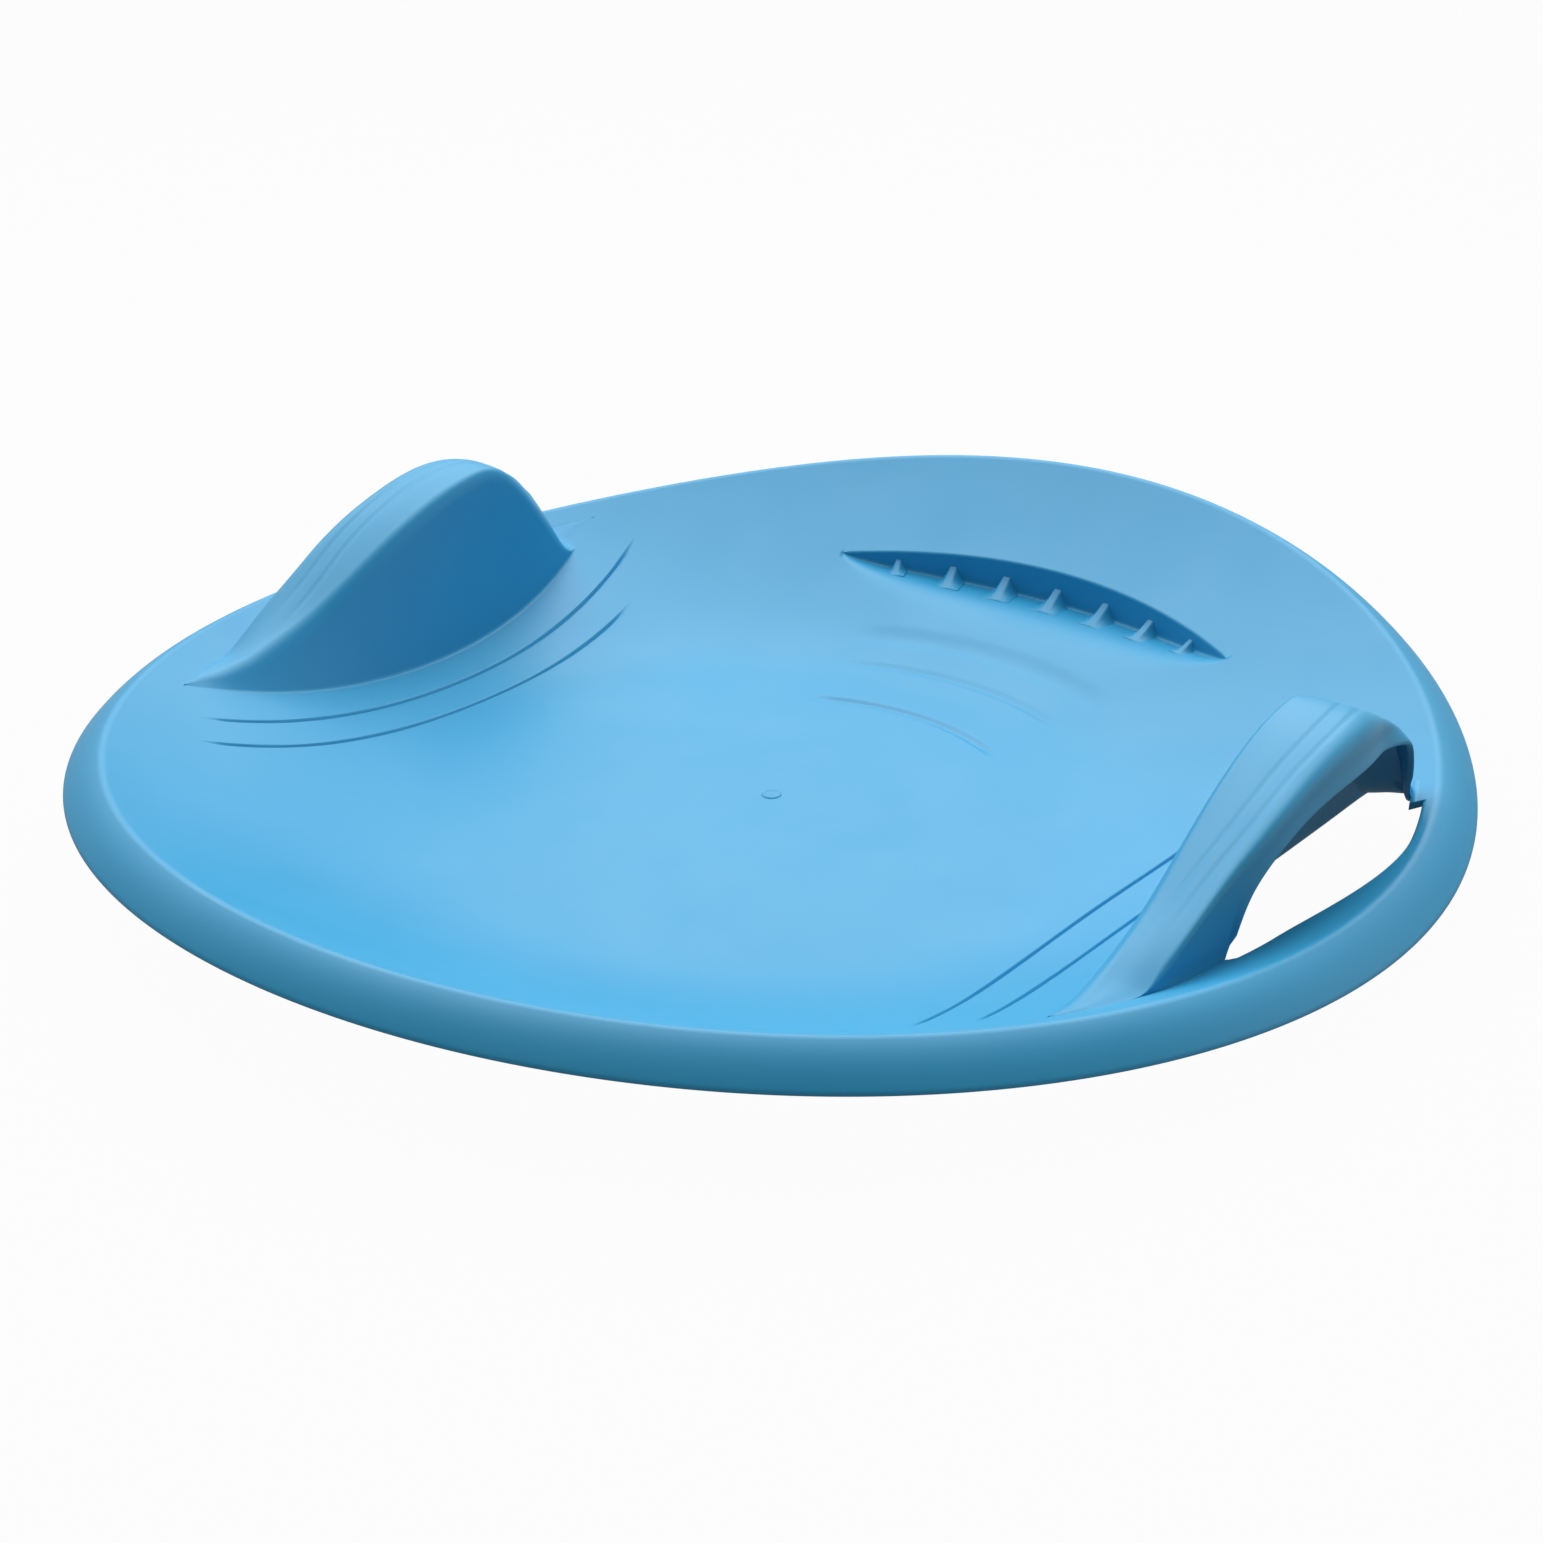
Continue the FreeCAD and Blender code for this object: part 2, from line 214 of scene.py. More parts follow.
class ReliefSizes(bpy.types.PropertyGroup):
    """Sizes of the fine lines moulded into the dish."""

    groove_half_width: length("Half width of a thigh groove", 1.35)
    groove_depth: length("Depth of a thigh groove", 1.7)
    groove_fade: length("Length over which a thigh groove fades at its ends", 22.0)
    near_groove: length("Thigh groove beside the handle, from the middle of the sled", 189.5)
    near_bend: length("Bend radius of the groove beside the handle", 563.0)
    near_reach: length("Reach of that groove to the front and the rear", 147.0)
    far_groove: length("Thigh groove nearer the middle of the sled", 170.0)
    far_bend: length("Bend radius of the groove nearer the middle", 600.0)
    far_front: length("Reach of that groove to the front", 110.0)
    far_rear: length("Reach of that groove to the rear", 163.0)
    arc_half_width: length("Half width of the crisp and the faint arc in the floor", 3.6)
    arc_depth: length("Depth of the crisp arc in the floor", 1.3)
    arc_fade: turn("Angle over which an arc fades at its ends", 9.0)
    first_reach: turn("Half angle of the crisp arc", 31.0)
    other_reach: turn("Half angle of the other two arcs", 27.0)
    first_arc: length("Radius of the crisp arc", 109.0)
    second_arc: length("Radius of the faint arc", 149.0)
    second_depth: length("Depth of the faint arc", 0.6)
    third_arc: length("Radius of the broad shallow arc", 173.0)
    third_half_width: length("Half width of the broad arc", 9.0)
    third_depth: length("Depth of the broad arc", 1.1)


class HandleSizes(bpy.types.PropertyGroup):
    """Sizes of one handle. Places along Y are measured from the middle of the sled."""

    lip_radius: length("Radius of the lip's outer face at the middle", 257.0)
    tip_flare: length("How much further out the lip stands at the rear tip", 11.0)
    front_tip_flare: length("How much further out the lip stands at the front tip", 15.5)
    nose_flare: length("How much further out the lip stands under the nose", 4.3)
    nose_start: length("Where the lip starts to flare towards the nose", -5.0)
    nose_span: length("Length of the flare towards the nose", 60.0)
    front_flare: length("Where the lip starts to flare towards the front tip", 98.0)
    front_flare_span: length("Length of the front flare", 11.0)
    edge_flare: length("Where the lip's lower edge starts to flare towards the tab", 72.0)
    edge_flare_span: length("Length of that flare", 30.0)
    rear_flare: length("Where the lip starts to flare towards the rear tip", -40.0)
    rear_flare_span: length("Length of the rear flare", 75.0)
    foot_reach: length("Handle's foot from the middle of the sled", 208.5)
    foot_bend: length("Radius of the handle's foot line", 400.0)
    tip_gap: length("How far the handle's plan stops short of its sharp tips", 0.4)
    taper_width: length("Width of the handle's plan at which its tips start to taper", 22.0)
    wall_lean: length("How far the wall leans out", 13.5)
    lean_rear: length("Rear end of the lean", -165.0)
    lean_middle: length("Where the wall leans most", -30.0)
    lean_front: length("Front end of the lean", 115.0)
    lean_power: number("Power of the lean's fall", 1.2)
    most_lean: number("Most of the handle's width that the lean may take", 0.55)
    crest_lift: length("Inner crest above the dish", 77.2)
    crest_rear: length("Rear end of the inner crest", -136.0)
    crest_middle: length("Where the inner crest peaks", 48.0)
    crest_front: length("Front end of the inner crest", 116.0)
    tail_lift: length("Extra lift along the inner crest's tail", 3.2)
    tail_middle: length("Middle of that extra lift", -98.0)
    tail_half_length: length("Half length of that extra lift", 46.0)
    crest_rear_power: number("Power of the inner crest's fall to the rear", 1.9)
    crest_front_power: number("Power of the inner crest's fall to the front", 1.35)
    shoulder_lift: length("Outer shoulder above the dish, before its soft start", 68.0)
    shoulder_soft: length("Softness of the shoulder's start", 5.0)
    shoulder_rear: length("Where the shoulder starts at the rear", -99.0)
    shoulder_middle: length("Where the shoulder peaks", 41.0)
    shoulder_front: length("Where the shoulder ends at the front", 108.0)
    shoulder_rear_power: number("Power of the shoulder's fall to the rear", 0.9)
    shoulder_front_power: number("Power of the shoulder's fall to the front", 0.3)
    hole_lift: length("Lip's lower edge above the dish's underside", 47.5)
    hole_rear: length("Rear end of the arch over the hand hole", -45.0)
    hole_middle: length("Where the arch is highest", 25.0)
    hole_front: length("Front end of the arch over the hand hole", 126.0)
    hole_stop: length("Where the arch has come down to the tab", 104.0)
    hole_stop_span: length("Length over which the arch comes down to the tab", 7.0)
    hole_rear_power: number("Power of the arch's rear", 0.38)
    hole_front_power: number("Power of the arch's front", 0.42)
    least_lip: length("Least depth of the lip", 4.0)
    least_taper: number("Share of that depth which is left at the tips", 0.75)
    full_rise: length("Rise of the shoulder at which the lip has its full shape", 9.0)
    tip_wall: length("Wall of the handle at its very tips", 0.5)
    wall_growth: number("Growth of the wall with the handle's width", 0.12)
    flat_lip: number("Share of the wall which is left in the lip where it lies flat", 0.1)
    foot_round: length("Tangent of the fillet at the foot", 1.5)
    crest_round: length("Tangent of the inner crest's round on the band", 4.0)
    crest_down: length("Tangent of the inner crest's round on the wall", 8.0)
    shoulder_round_rear: length("Tangent of the shoulder's round at the rear", 3.0)
    shoulder_round: length("Tangent of the shoulder's round at the middle", 10.0)
    round_start: length("Where the shoulder's round starts to grow", -75.0)
    round_span: length("Length over which the shoulder's round grows", 95.0)
    nose_round: length("Tangent of the round across the nose", 18.0)
    nose_round_start: length("Where the round across the nose starts to grow", 35.0)
    nose_round_span: length("Length over which the round across the nose grows", 45.0)
    lip_turn: length("How far the lip's lower edge turns out", 1.3)
    lip_turn_depth: length("Depth of the part of the lip that turns out", 7.0)
    crown: length("Swell of the grip band", 0.3)
    grip_inset: length("First groove in the grip band, from the lip", 9.0)
    grip_pitch: length("Distance between grooves in the grip band", 7.5)
    grip_half_width: length("Half width of a groove in the grip band", 2.0)
    grip_depth: length("Depth of a groove in the grip band", 0.45)
    grip_rear: length("Rear end of the grooves in the grip band", -85.0)
    grip_front: length("Front end of the grooves in the grip band", 96.0)
    grip_fade: length("Length over which those grooves fade", 45.0)


class HandHoleSizes(bpy.types.PropertyGroup):
    """Outline of the hand hole's outer edge, in the rail, and the tab in front of it."""

    front_angle: turn("Front end of the bead on the tab", 64.5)
    tab_angle: turn("Rear end of the tab and front end of the hole", 68.4)
    wide_angle: turn("Where the hole has reached its full width", 75.0)
    narrow_angle: turn("Where the hole has become narrow", 94.5)
    rear_angle: turn("Rear end of the hole", 100.4)
    closing: turn("Angle over which the hole's rear end closes", 0.6)
    wide_radius: length("Edge of the hole where it is widest", 277.6)
    narrow_radius: length("Edge of the hole behind that", 259.3)
    bead_width: length("Width of the bead on the tab's edge", 3.2)
    bead_height: length("Height of the bead on the tab's edge", 0.3)


class FootRestSizes(bpy.types.PropertyGroup):
    """Sizes of the foot rest and its gussets."""

    wall_radius: length("Radius of the foot rest's wall", 228.5)
    half_angle: turn("Half angle of the foot rest", 29.5)
    height: length("Height of the wall at its middle", 17.3)
    height_power: number("Power of the wall's fall to its ends", 0.7)
    blend: number("Softness of the floor's inner edge, as a share of the wall's height", 0.2)
    foot_round: length("Tangent of the fillet at the wall's foot", 2.2)
    edge_round: length("Tangent of the round on the wall's top edge", 1.1)
    gusset_count: IntProperty(description="Gussets in the row", default=7)
    gusset_pitch: turn("Angle between gussets", 7.4)
    gusset_length: length("Length of a gusset on the floor", 13.0)
    gusset_height: length("Height of a gusset on the wall", 9.2)
    gusset_spread: length("Half width of a gusset's flared foot", 7.5)
    gusset_sink: length("How far a gusset is rooted in the wall and the floor", 1.0)
    gusset_room: number("Wall's height at which a gusset is full size, in gusset heights", 1.7)
    least_gusset: number("Size of a gusset where the wall has no height, as a share", 0.1)


class PlasticFinish(bpy.types.PropertyGroup):
    """Colour and gloss of the moulded plastic."""

    body: colour("Main colour of the plastic", (0.022, 0.312, 0.570))
    pale: colour("Colour where the pigment is thinner", (0.030, 0.328, 0.590))
    scuff: colour("Colour of light scuffs", (0.110, 0.390, 0.620))
    roughness: number("Roughness of the satin surface", 0.44)
    roughness_spread: number("How far the roughness varies", 0.03)
    roughness_scale: number("Scale of the roughness's mottle", 24.0)
    pigment_scale: number("Scale of the pigment's mottle", 9.0)
    scuff_share: number("Share of the scuffs' colour where they are strongest", 0.1)
    grain: length("Height of the fine moulded grain", 0.02)
    grain_scale: number("Scale of the fine moulded grain", 1400.0)
    grain_strength: number("Strength of the fine moulded grain", 0.12)
    refraction: number("Index of refraction", 1.5)


class StudioSettings(bpy.types.PropertyGroup):
    """Camera, lights, surroundings and floor."""

    azimuth: turn("Camera's turn round the sled, from the rear towards the right", 38.862)
    elevation: turn("Camera's height above the horizon", 24.834)
    distance: length("Camera's distance from the point that it looks at", 1122.98)
    aim_height: length("Height of the point that the camera looks at", 25.14)
    lens: number("Focal length in millimetres", 59.72)
    rise: number("Upright shift of the lens, as a share of the frame", -0.0146)
    key_power: number("Power of the soft light above the sled, in watts", 18.4)
    key_size: length("Side of the soft light", 1800.0)
    key_azimuth: turn("Turn of the soft light round the sled", 226.0)
    key_elevation: turn("Height of the soft light above the horizon", 67.0)
    key_distance: length("Distance of the soft light", 1400.0)
    fill_power: number("Power of the soft light on the right, in watts", 2.8)
    fill_size: length("Side of the light on the right", 1000.0)
    fill_azimuth: turn("Turn of the light on the right round the sled", 124.0)
    fill_elevation: turn("Height of the light on the right above the horizon", 18.0)
    fill_distance: length("Distance of the light on the right", 1600.0)
    dome_bright: number("Strength of the bright side of the surroundings", 1.6)
    dome_dim: number("Strength of the dim side of the surroundings", 0.11)
    dome_azimuth: turn("Turn of the bright side of the surroundings", 224.0)
    dome_elevation: turn("Height of the bright side above the horizon", 44.0)
    floor_colour: colour("Colour of the studio floor", (0.27, 0.27, 0.27))
    floor_white: number("Share of plain white that shows on the floor", 0.97)
    floor_reflected: number("Share of plain white that reflections of the floor show", 0.30)


class SledSettings(bpy.types.PropertyGroup):
    """All settings of the sled."""

    saucer: PointerProperty(type=SaucerSizes)
    relief: PointerProperty(type=ReliefSizes)
    handle: PointerProperty(type=HandleSizes)
    hole: PointerProperty(type=HandHoleSizes)
    foot_rest: PointerProperty(type=FootRestSizes)
    plastic: PointerProperty(type=PlasticFinish)
    studio: PointerProperty(type=StudioSettings)


def sled():
    """The sled's settings."""
    return bpy.context.scene.sled


# Small curves

def ease(value):
    """A smooth step from 0 to 1."""
    share = np.clip(value, 0.0, 1.0)
    return share * share * (3 - 2 * share)


def notch(value):
    """A smooth bump of height 1 between -1 and 1."""
    return (1 - np.minimum(np.abs(value), 1.0) ** 2) ** 2


def bell(place, height, rear, middle, front, power):
    """A rise and fall along Y, nothing at its two ends."""
    span = np.where(place < middle, middle - rear, front - middle)
    share = np.minimum(np.abs(place - middle) / span, 1.0)
    return height * np.maximum(np.cos(share * math.pi / 2), 0.0) ** power


def stretch(first, last, count, both_ends=True):
    """Values spread evenly between two columns of values, one row for each column."""
    shares = np.linspace(0, 1, count, endpoint=both_ends)
    first, last = np.broadcast_arrays(np.asarray(first, float), np.asarray(last, float))
    return first[..., None] + (last - first)[..., None] * shares


def gathered(count):
    """Values from -1 to 1, closer together at both ends."""
    return np.sin(np.linspace(-math.pi / 2, math.pi / 2, count))


def nose_rows(half, count):
    """Distances from an exposed edge at which its half-round nose is sampled."""
    return half * (1 - np.sin(np.linspace(math.pi / 2, 0, count)))


def repeated(row, columns):
    """The same row of values for every column."""
    return np.broadcast_to(row, (len(columns), len(row)))


def polar(x, y):
    """Radius and angle of points in plan."""
    return np.hypot(x, y), np.arctan2(x, y)


def in_plan(radius, angle):
    """X and Y of points in plan."""
    return radius * np.sin(angle), radius * np.cos(angle)


def half_thickness(distance, half):
    """Half the wall's thickness at a distance from an exposed, half-round edge."""
    inside = np.clip(half - distance, 0.0, half)
    return np.sqrt(np.maximum(half ** 2 - inside ** 2, 0.0))


# Dish

def crest_radius():
    """Radius of the crest line."""
    return sled().saucer.outer_radius - sled().saucer.skirt_reach


def rim_radius():
    """Radius at which the rim starts."""
    return crest_radius() - sled().saucer.rim_land


def rise(angle):
    """Height of the crest above the floor's top."""
    saucer = sled().saucer
    ends = (saucer.front_rise + saucer.rear_rise) / 2
    saddle = (ends - saucer.side_rise) / 2
    mean = (ends + saucer.side_rise) / 2 - saucer.diagonal_ease
    tilt = (saucer.front_rise - saucer.rear_rise) / 2 - saucer.nose_lift
    waves = tilt * np.cos(angle) + saddle * np.cos(2 * angle)
    return mean + waves + saucer.nose_lift * np.cos(3 * angle) + saucer.diagonal_ease * np.cos(4 * angle)


def flat_reach(angle):
    """Radius at which the floor starts to rise."""
    saucer = sled().saucer
    forward = np.maximum(np.cos(angle), 0.0)
    return saucer.seat_radius - (saucer.seat_radius - saucer.floor_radius) * forward ** 2


def dish(radius, angle):
    """Height of the plain dish."""
    saucer, start = sled().saucer, flat_reach(angle)
    reach = saucer.soft_start * np.logaddexp(0.0, (radius - start) / saucer.soft_start)
    return saucer.wall + rise(angle) * (reach / (crest_radius() - start)) ** saucer.bowl_power


def dish_and_rim(radius, angle):
    """Height of the dish, the rounded crest and the skirt that curves down from it."""
    saucer = sled().saucer
    half = saucer.crest_round
    inner = crest_radius() - half
    start = flat_reach(angle)
    share = (inner - start) / (crest_radius() - start)
    slope_in = rise(angle) * saucer.bowl_power / (crest_radius() - start) * share ** (saucer.bowl_power - 1)
    slope_out = -saucer.skirt_start
    rounded = np.clip(radius - inner, 0.0, 2 * half)
    height = dish(np.minimum(radius, inner), angle) + slope_in * rounded
    height = height + (slope_out - slope_in) * rounded ** 2 / (4 * half)
    skirt_top = dish(inner, angle) + half * (slope_in + slope_out)
    skirt_foot = dish(crest_radius(), angle) - saucer.skirt_drop
    reach = saucer.skirt_reach - half
    bend = (skirt_top + slope_out * reach - skirt_foot) / reach ** 2
    out = np.maximum(radius - crest_radius() - half, 0.0)
    return height + slope_out * out - bend * out ** 2


def step_height(angle):
    """Height of the foot rest's wall."""
    rest = sled().foot_rest
    share = np.maximum(1 - (angle / rest.half_angle) ** 2, 0.0)
    return rest.height * share ** rest.height_power


def step_angles():
    """Angles along the foot rest, closer together at its ends."""
    return sled().foot_rest.half_angle * gathered(121)


def step_edge_round(angle):
    """Tangent of the round on the foot rest's top edge, which is less where the wall is low."""
    return np.minimum(sled().foot_rest.edge_round, STEP_EDGE_SHARE * step_height(angle))


def step_base(angle):
    """Height of the foot rest's floor."""
    return dish(sled().foot_rest.wall_radius, angle) - step_height(angle)


def pocket_edge(angle):
    """Radius at which the foot rest's floor leaves the dish."""
    saucer = sled().saucer
    start = flat_reach(angle)
    share = np.maximum(step_base(angle) - saucer.wall, 0.0) / rise(angle)
    return start + (crest_radius() - start) * share ** (1 / saucer.bowl_power)


def with_pocket(height, radius, angle):
    """The dish with the foot rest's level floor sunk softly into it."""
    rest = sled().foot_rest
    softness = np.maximum(rest.blend * step_height(angle), WELD)
    base = step_base(angle)
    sunk = -softness * np.logaddexp(-base / softness, -height / softness)
    in_pocket = (np.abs(angle) < rest.half_angle) & (radius < rest.wall_radius)
    return np.where(in_pocket, sunk, height)


def line_fade(place, first, last, fade):
    """1 along a line, falling to 0 at its two ends."""
    return ease((place - first) / fade) * ease((last - place) / fade)


def thigh_groove(x, y, start, bend, rear, front):
    """Depth of one thigh groove, the same on both sides of the sled."""
    relief = sled().relief
    across = (np.abs(x) - start - y ** 2 / (2 * bend)) / np.sqrt(1 + (y / bend) ** 2)
    fade = line_fade(y, rear, front, relief.groove_fade)
    return relief.groove_depth * notch(across / relief.groove_half_width) * fade


def floor_arc(radius, angle, middle, half_width, depth, reach):
    """Depth of one arc in front of the rider."""
    fade = line_fade(angle, -reach, reach, sled().relief.arc_fade)
    return depth * notch((radius - middle) / half_width) * fade


def moulded_lines(x, y):
    """Depth of all the fine lines in the dish."""
    relief = sled().relief
    radius, angle = polar(x, y)
    grooves = (
        (relief.near_groove, relief.near_bend, -relief.near_reach, relief.near_reach),
        (relief.far_groove, relief.far_bend, -relief.far_rear, relief.far_front),
    )
    arcs = (
        (relief.first_arc, relief.arc_half_width, relief.arc_depth, relief.first_reach),
        (relief.second_arc, relief.arc_half_width, relief.second_depth, relief.other_reach),
        (relief.third_arc, relief.third_half_width, relief.third_depth, relief.other_reach),
    )
    depth = sum(thigh_groove(x, y, *groove) for groove in grooves)
    return depth + sum(floor_arc(radius, angle, *arc) for arc in arcs)


def smooth_face(x, y):
    """Height of the moulding's upper face without its fine lines."""
    radius, angle = polar(x, y)
    return with_pocket(dish_and_rim(radius, angle), radius, angle)


def upper_face(x, y):
    """Height of the moulding's upper face."""
    return smooth_face(x, y) - moulded_lines(x, y)


def face_normals(height, x, y):
    """Normals of a height over the plan, in one list."""
    along_x = (height(x + SLOPE_STEP, y) - height(x - SLOPE_STEP, y)) / (2 * SLOPE_STEP)
    along_y = (height(x, y + SLOPE_STEP) - height(x, y - SLOPE_STEP)) / (2 * SLOPE_STEP)
    normals = stacked(-along_x, -along_y, np.ones_like(along_x))
    return normals / np.linalg.norm(normals, axis=-1, keepdims=True)


# Closed shells from grids

def grid_faces(columns, rows, first=0):
    """Corner numbers of the faces of a grid of points."""
    corner = first + np.arange(columns * rows).reshape(columns, rows)
    faces = [corner[:-1, :-1], corner[1:, :-1], corner[1:, 1:], corner[:-1, 1:]]
    return np.stack(faces, axis=-1).reshape(-1, 4)


def skin_and_sides(faces, welded, count):
    """Faces of the outer skin that are more than a line, and the sides from its border to the inner skin's.

    Corners of the inner skin are numbered on from those of the outer skin, so count lies between the two.
    """
    skin, directed = [], {}
    for face in faces.tolist():
        if len({welded[corner] for corner in face}) < 3:
            continue
        skin.append(face)
        for start, end in zip(face, face[1:] + face[:1]):
            if welded[start] != welded[end]:
                directed[(welded[start], welded[end])] = (start, end)
    sides = [
        (end, start, start + count, end + count)
        for key, (start, end) in directed.items() if key[::-1] not in directed
    ]
    return skin, sides


def shell_mesh(name, skins, faces):
    """A closed mesh from an outer skin, an inner skin and the sides between their borders.

    The skins are the outer points, the inner points and the normals of both. A normal of zero length is
    left for Blender to work out.
    """
    outer, inner, outer_normals, inner_normals = skins
    count = len(outer)
    points = np.concatenate([outer, inner])
    normals = np.concatenate([outer_normals, inner_normals])
    corners = points[faces]
    facing = np.cross(corners[:, 2] - corners[:, 0], corners[:, 3] - corners[:, 1])
    if np.sum(facing * normals[faces[:, 0]]) < 0:
        faces = faces[:, ::-1]
    keys = np.round(points / WELD).astype(np.int64)
    _, kept, welded = np.unique(keys, axis=0, return_index=True, return_inverse=True)
    welded = welded.reshape(-1)

    skin, sides = skin_and_sides(faces, welded, count)
    mesh_faces, smooth, loop_normals, made = [], [], [], set()

    def add_face(face, is_skin):
        kept_corners = [
            corner for place, corner in enumerate(face) if welded[corner] != welded[face[place - 1]]
        ]
        together = frozenset(welded[corner] for corner in kept_corners)
        if len(together) < 3 or together in made:
            return
        made.add(together)
        mesh_faces.append([int(welded[corner]) for corner in kept_corners])
        smooth.append(is_skin)
        loop_normals.extend(normals[corner] if is_skin else (0.0, 0.0, 0.0) for corner in kept_corners)

    for face in skin:
        add_face(face, True)
    for face in skin:
        add_face([corner + count for corner in reversed(face)], True)
    for face in sides:
        add_face(face, False)

    mesh = bpy.data.meshes.new(name)
    mesh.from_pydata(points[kept].tolist(), [], mesh_faces)
    mesh.polygons.foreach_set("use_smooth", smooth)
    mesh.update()
    mesh.normals_split_custom_set([tuple(normal) for normal in loop_normals])
    return mesh


def new_object(name, data):
    """An object with the given data, in the scene."""
    made = bpy.data.objects.new(name, data)
    bpy.context.scene.collection.objects.link(made)
    return made


def add_piece(name, mesh, *nodes):
    """A finished piece of the sled, which stands for these nodes of the frame."""
    piece = new_object(name, mesh)
    if not mesh.materials:
        mesh.materials.append(plastic())
    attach(piece, BODY)
    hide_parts(*nodes)


def mirrored(values):
    """Points or normals on the other side of the sled."""
    return values * np.array([-1.0, 1.0, 1.0])


def full_turn(count):
    """Angles all the way round, the last the same as the first."""
    angles = np.linspace(0, 2 * math.pi, count)
    angles[-1] = 0.0
    return angles


def side_zone():
    """First and last angle of the right-hand side zone."""
    half = sled().saucer.side_half_angle
    return math.pi / 2 - half, math.pi / 2 + half


def plan_points(angles, radii):
    """X and Y of a polar grid, one column for each angle."""
    return in_plan(radii, angles[:, None])


def stacked(x, y, z):
    """Points from their three coordinates, in one list."""
    return np.stack([x, y, z], axis=-1).reshape(-1, 3)


def sheet_skins(x, y):
    """Skins of the moulded dish over the plan: outer, inner and their normals."""
    outer = stacked(x, y, upper_face(x, y))
    inner = stacked(x, y, smooth_face(x, y) - sled().saucer.wall)
    return outer, inner, face_normals(upper_face, x, y), -face_normals(smooth_face, x, y)


def plain_normals(points):
    """Normals left for Blender to work out, but for one that tells which way the outer skin faces."""
    normals = np.zeros_like(points)
    normals[0] = (0, 0, 1)
    return normals


def add_shell(name, skins, faces, part):
    """A closed piece made from its skins."""
    add_piece(name, shell_mesh(name, skins, faces), part)


def add_sheet(name, angles, radii, part):
    """A piece of the dish over a polar grid."""
    add_shell(name, sheet_skins(*plan_points(angles, radii)), grid_faces(*radii.shape), part)


def both_sides(name, skins, faces, part):
    """The same piece on the right and on the left."""
    for side in ("right", "left"):
        placed = skins if side == "right" else [mirrored(values) for values in skins]
        add_shell(f"{side}_{name}", placed, faces, f"{side}_{part}")


# Handle curves, for the right-hand handle

def foot_centre():
    """X of the centre of the handle's foot line."""
    return sled().handle.foot_reach + sled().handle.foot_bend


def handle_tip(flare):
    """Distance along Y to a tip of the handle's plan, where the foot line meets the flared lip."""
    handle = sled().handle
    radius = handle.lip_radius + flare
    lens = (foot_centre() ** 2 + radius ** 2 - handle.foot_bend ** 2) / (2 * foot_centre())
    return math.sqrt(radius ** 2 - lens ** 2) - handle.tip_gap


def handle_stations():
    """Places along Y at which the handle is sampled, closer together near its tips."""
    front, rear = handle_tip(sled().handle.front_tip_flare), -handle_tip(sled().handle.tip_flare)
    return (front + rear) / 2 + (front - rear) / 2 * gathered(STATIONS)


def foot_line(y):
    """X of the handle's foot."""
    return foot_centre() - np.sqrt(sled().handle.foot_bend ** 2 - y ** 2)


def flared_reach(y, start, span):
    """Radius of the lip, with its flares to the rear tip, the nose and, from a place on, the front tip."""
    handle = sled().handle
    nose = handle.nose_flare * ease((y - handle.nose_start) / handle.nose_span)
    ahead = (handle.front_tip_flare - handle.nose_flare) * ease((y - start) / span)
    behind = handle.tip_flare * ease((handle.rear_flare - y) / handle.rear_flare_span)
    return handle.lip_radius + nose + ahead + behind


def lip_line(y):
    """X of the lip at the shoulder."""
    handle = sled().handle
    return np.sqrt(flared_reach(y, handle.front_flare, handle.front_flare_span) ** 2 - y ** 2)


def edge_reach(y):
    """Radius of the lip's lower edge, which leans out to the tab in front of the hand hole."""
    return flared_reach(y, sled().handle.edge_flare, sled().handle.edge_flare_span)


def edge_line(y):
    """X of the lip's lower edge."""
    return np.sqrt(edge_reach(y) ** 2 - y ** 2)


def rail_border(angle):
    """Radius at which the rail starts, beside the lip and beyond the handle's tips."""
    radius = np.full_like(angle, sled().handle.lip_radius)
    for _ in range(BORDER_PASSES):
        radius = edge_reach(radius * np.cos(angle))
    return radius


def plan_width(y):
    """Width of the handle in plan."""
    return lip_line(y) - foot_line(y)


def taper(y):
    """1 along the handle, falling to 0 at its tips."""
    return np.minimum(plan_width(y) / sled().handle.taper_width, 1.0)


def foot_start(y):
    """X at which the dish turns up into the handle."""
    return foot_line(y) - sled().handle.foot_round * taper(y)


def plain_dish(x, y):
    """Height of the plain dish at a point in plan."""
    return dish_and_rim(*polar(x, y))


def handle_rise(y, name):
    """One of the handle's rises along Y, by the name that its settings start with."""
    handle = sled().handle
    kinds = ("lift", "rear", "middle", "front", "rear_power", "front_power")
    lift, rear, middle, front, *powers = (getattr(handle, f"{name}_{kind}") for kind in kinds)
    return bell(y, lift, rear, middle, front, np.where(y < middle, *powers))


def crest_corner(y):
    """X and Z of the inner crest, before it is rounded."""
    handle = sled().handle
    rear, middle, front = handle.lean_rear, handle.lean_middle, handle.lean_front
    lean = bell(y, handle.wall_lean, rear, middle, front, handle.lean_power)
    x = foot_line(y) + np.minimum(lean, handle.most_lean * plan_width(y))
    tail = handle.tail_lift * notch((y - handle.tail_middle) / handle.tail_half_length)
    return x, plain_dish(x, y) + handle_rise(y, "crest") + tail


def shoulder_rise(y):
    """Height of the outer shoulder above the dish."""
    soft = sled().handle.shoulder_soft
    return np.hypot(handle_rise(y, "shoulder"), soft) - soft


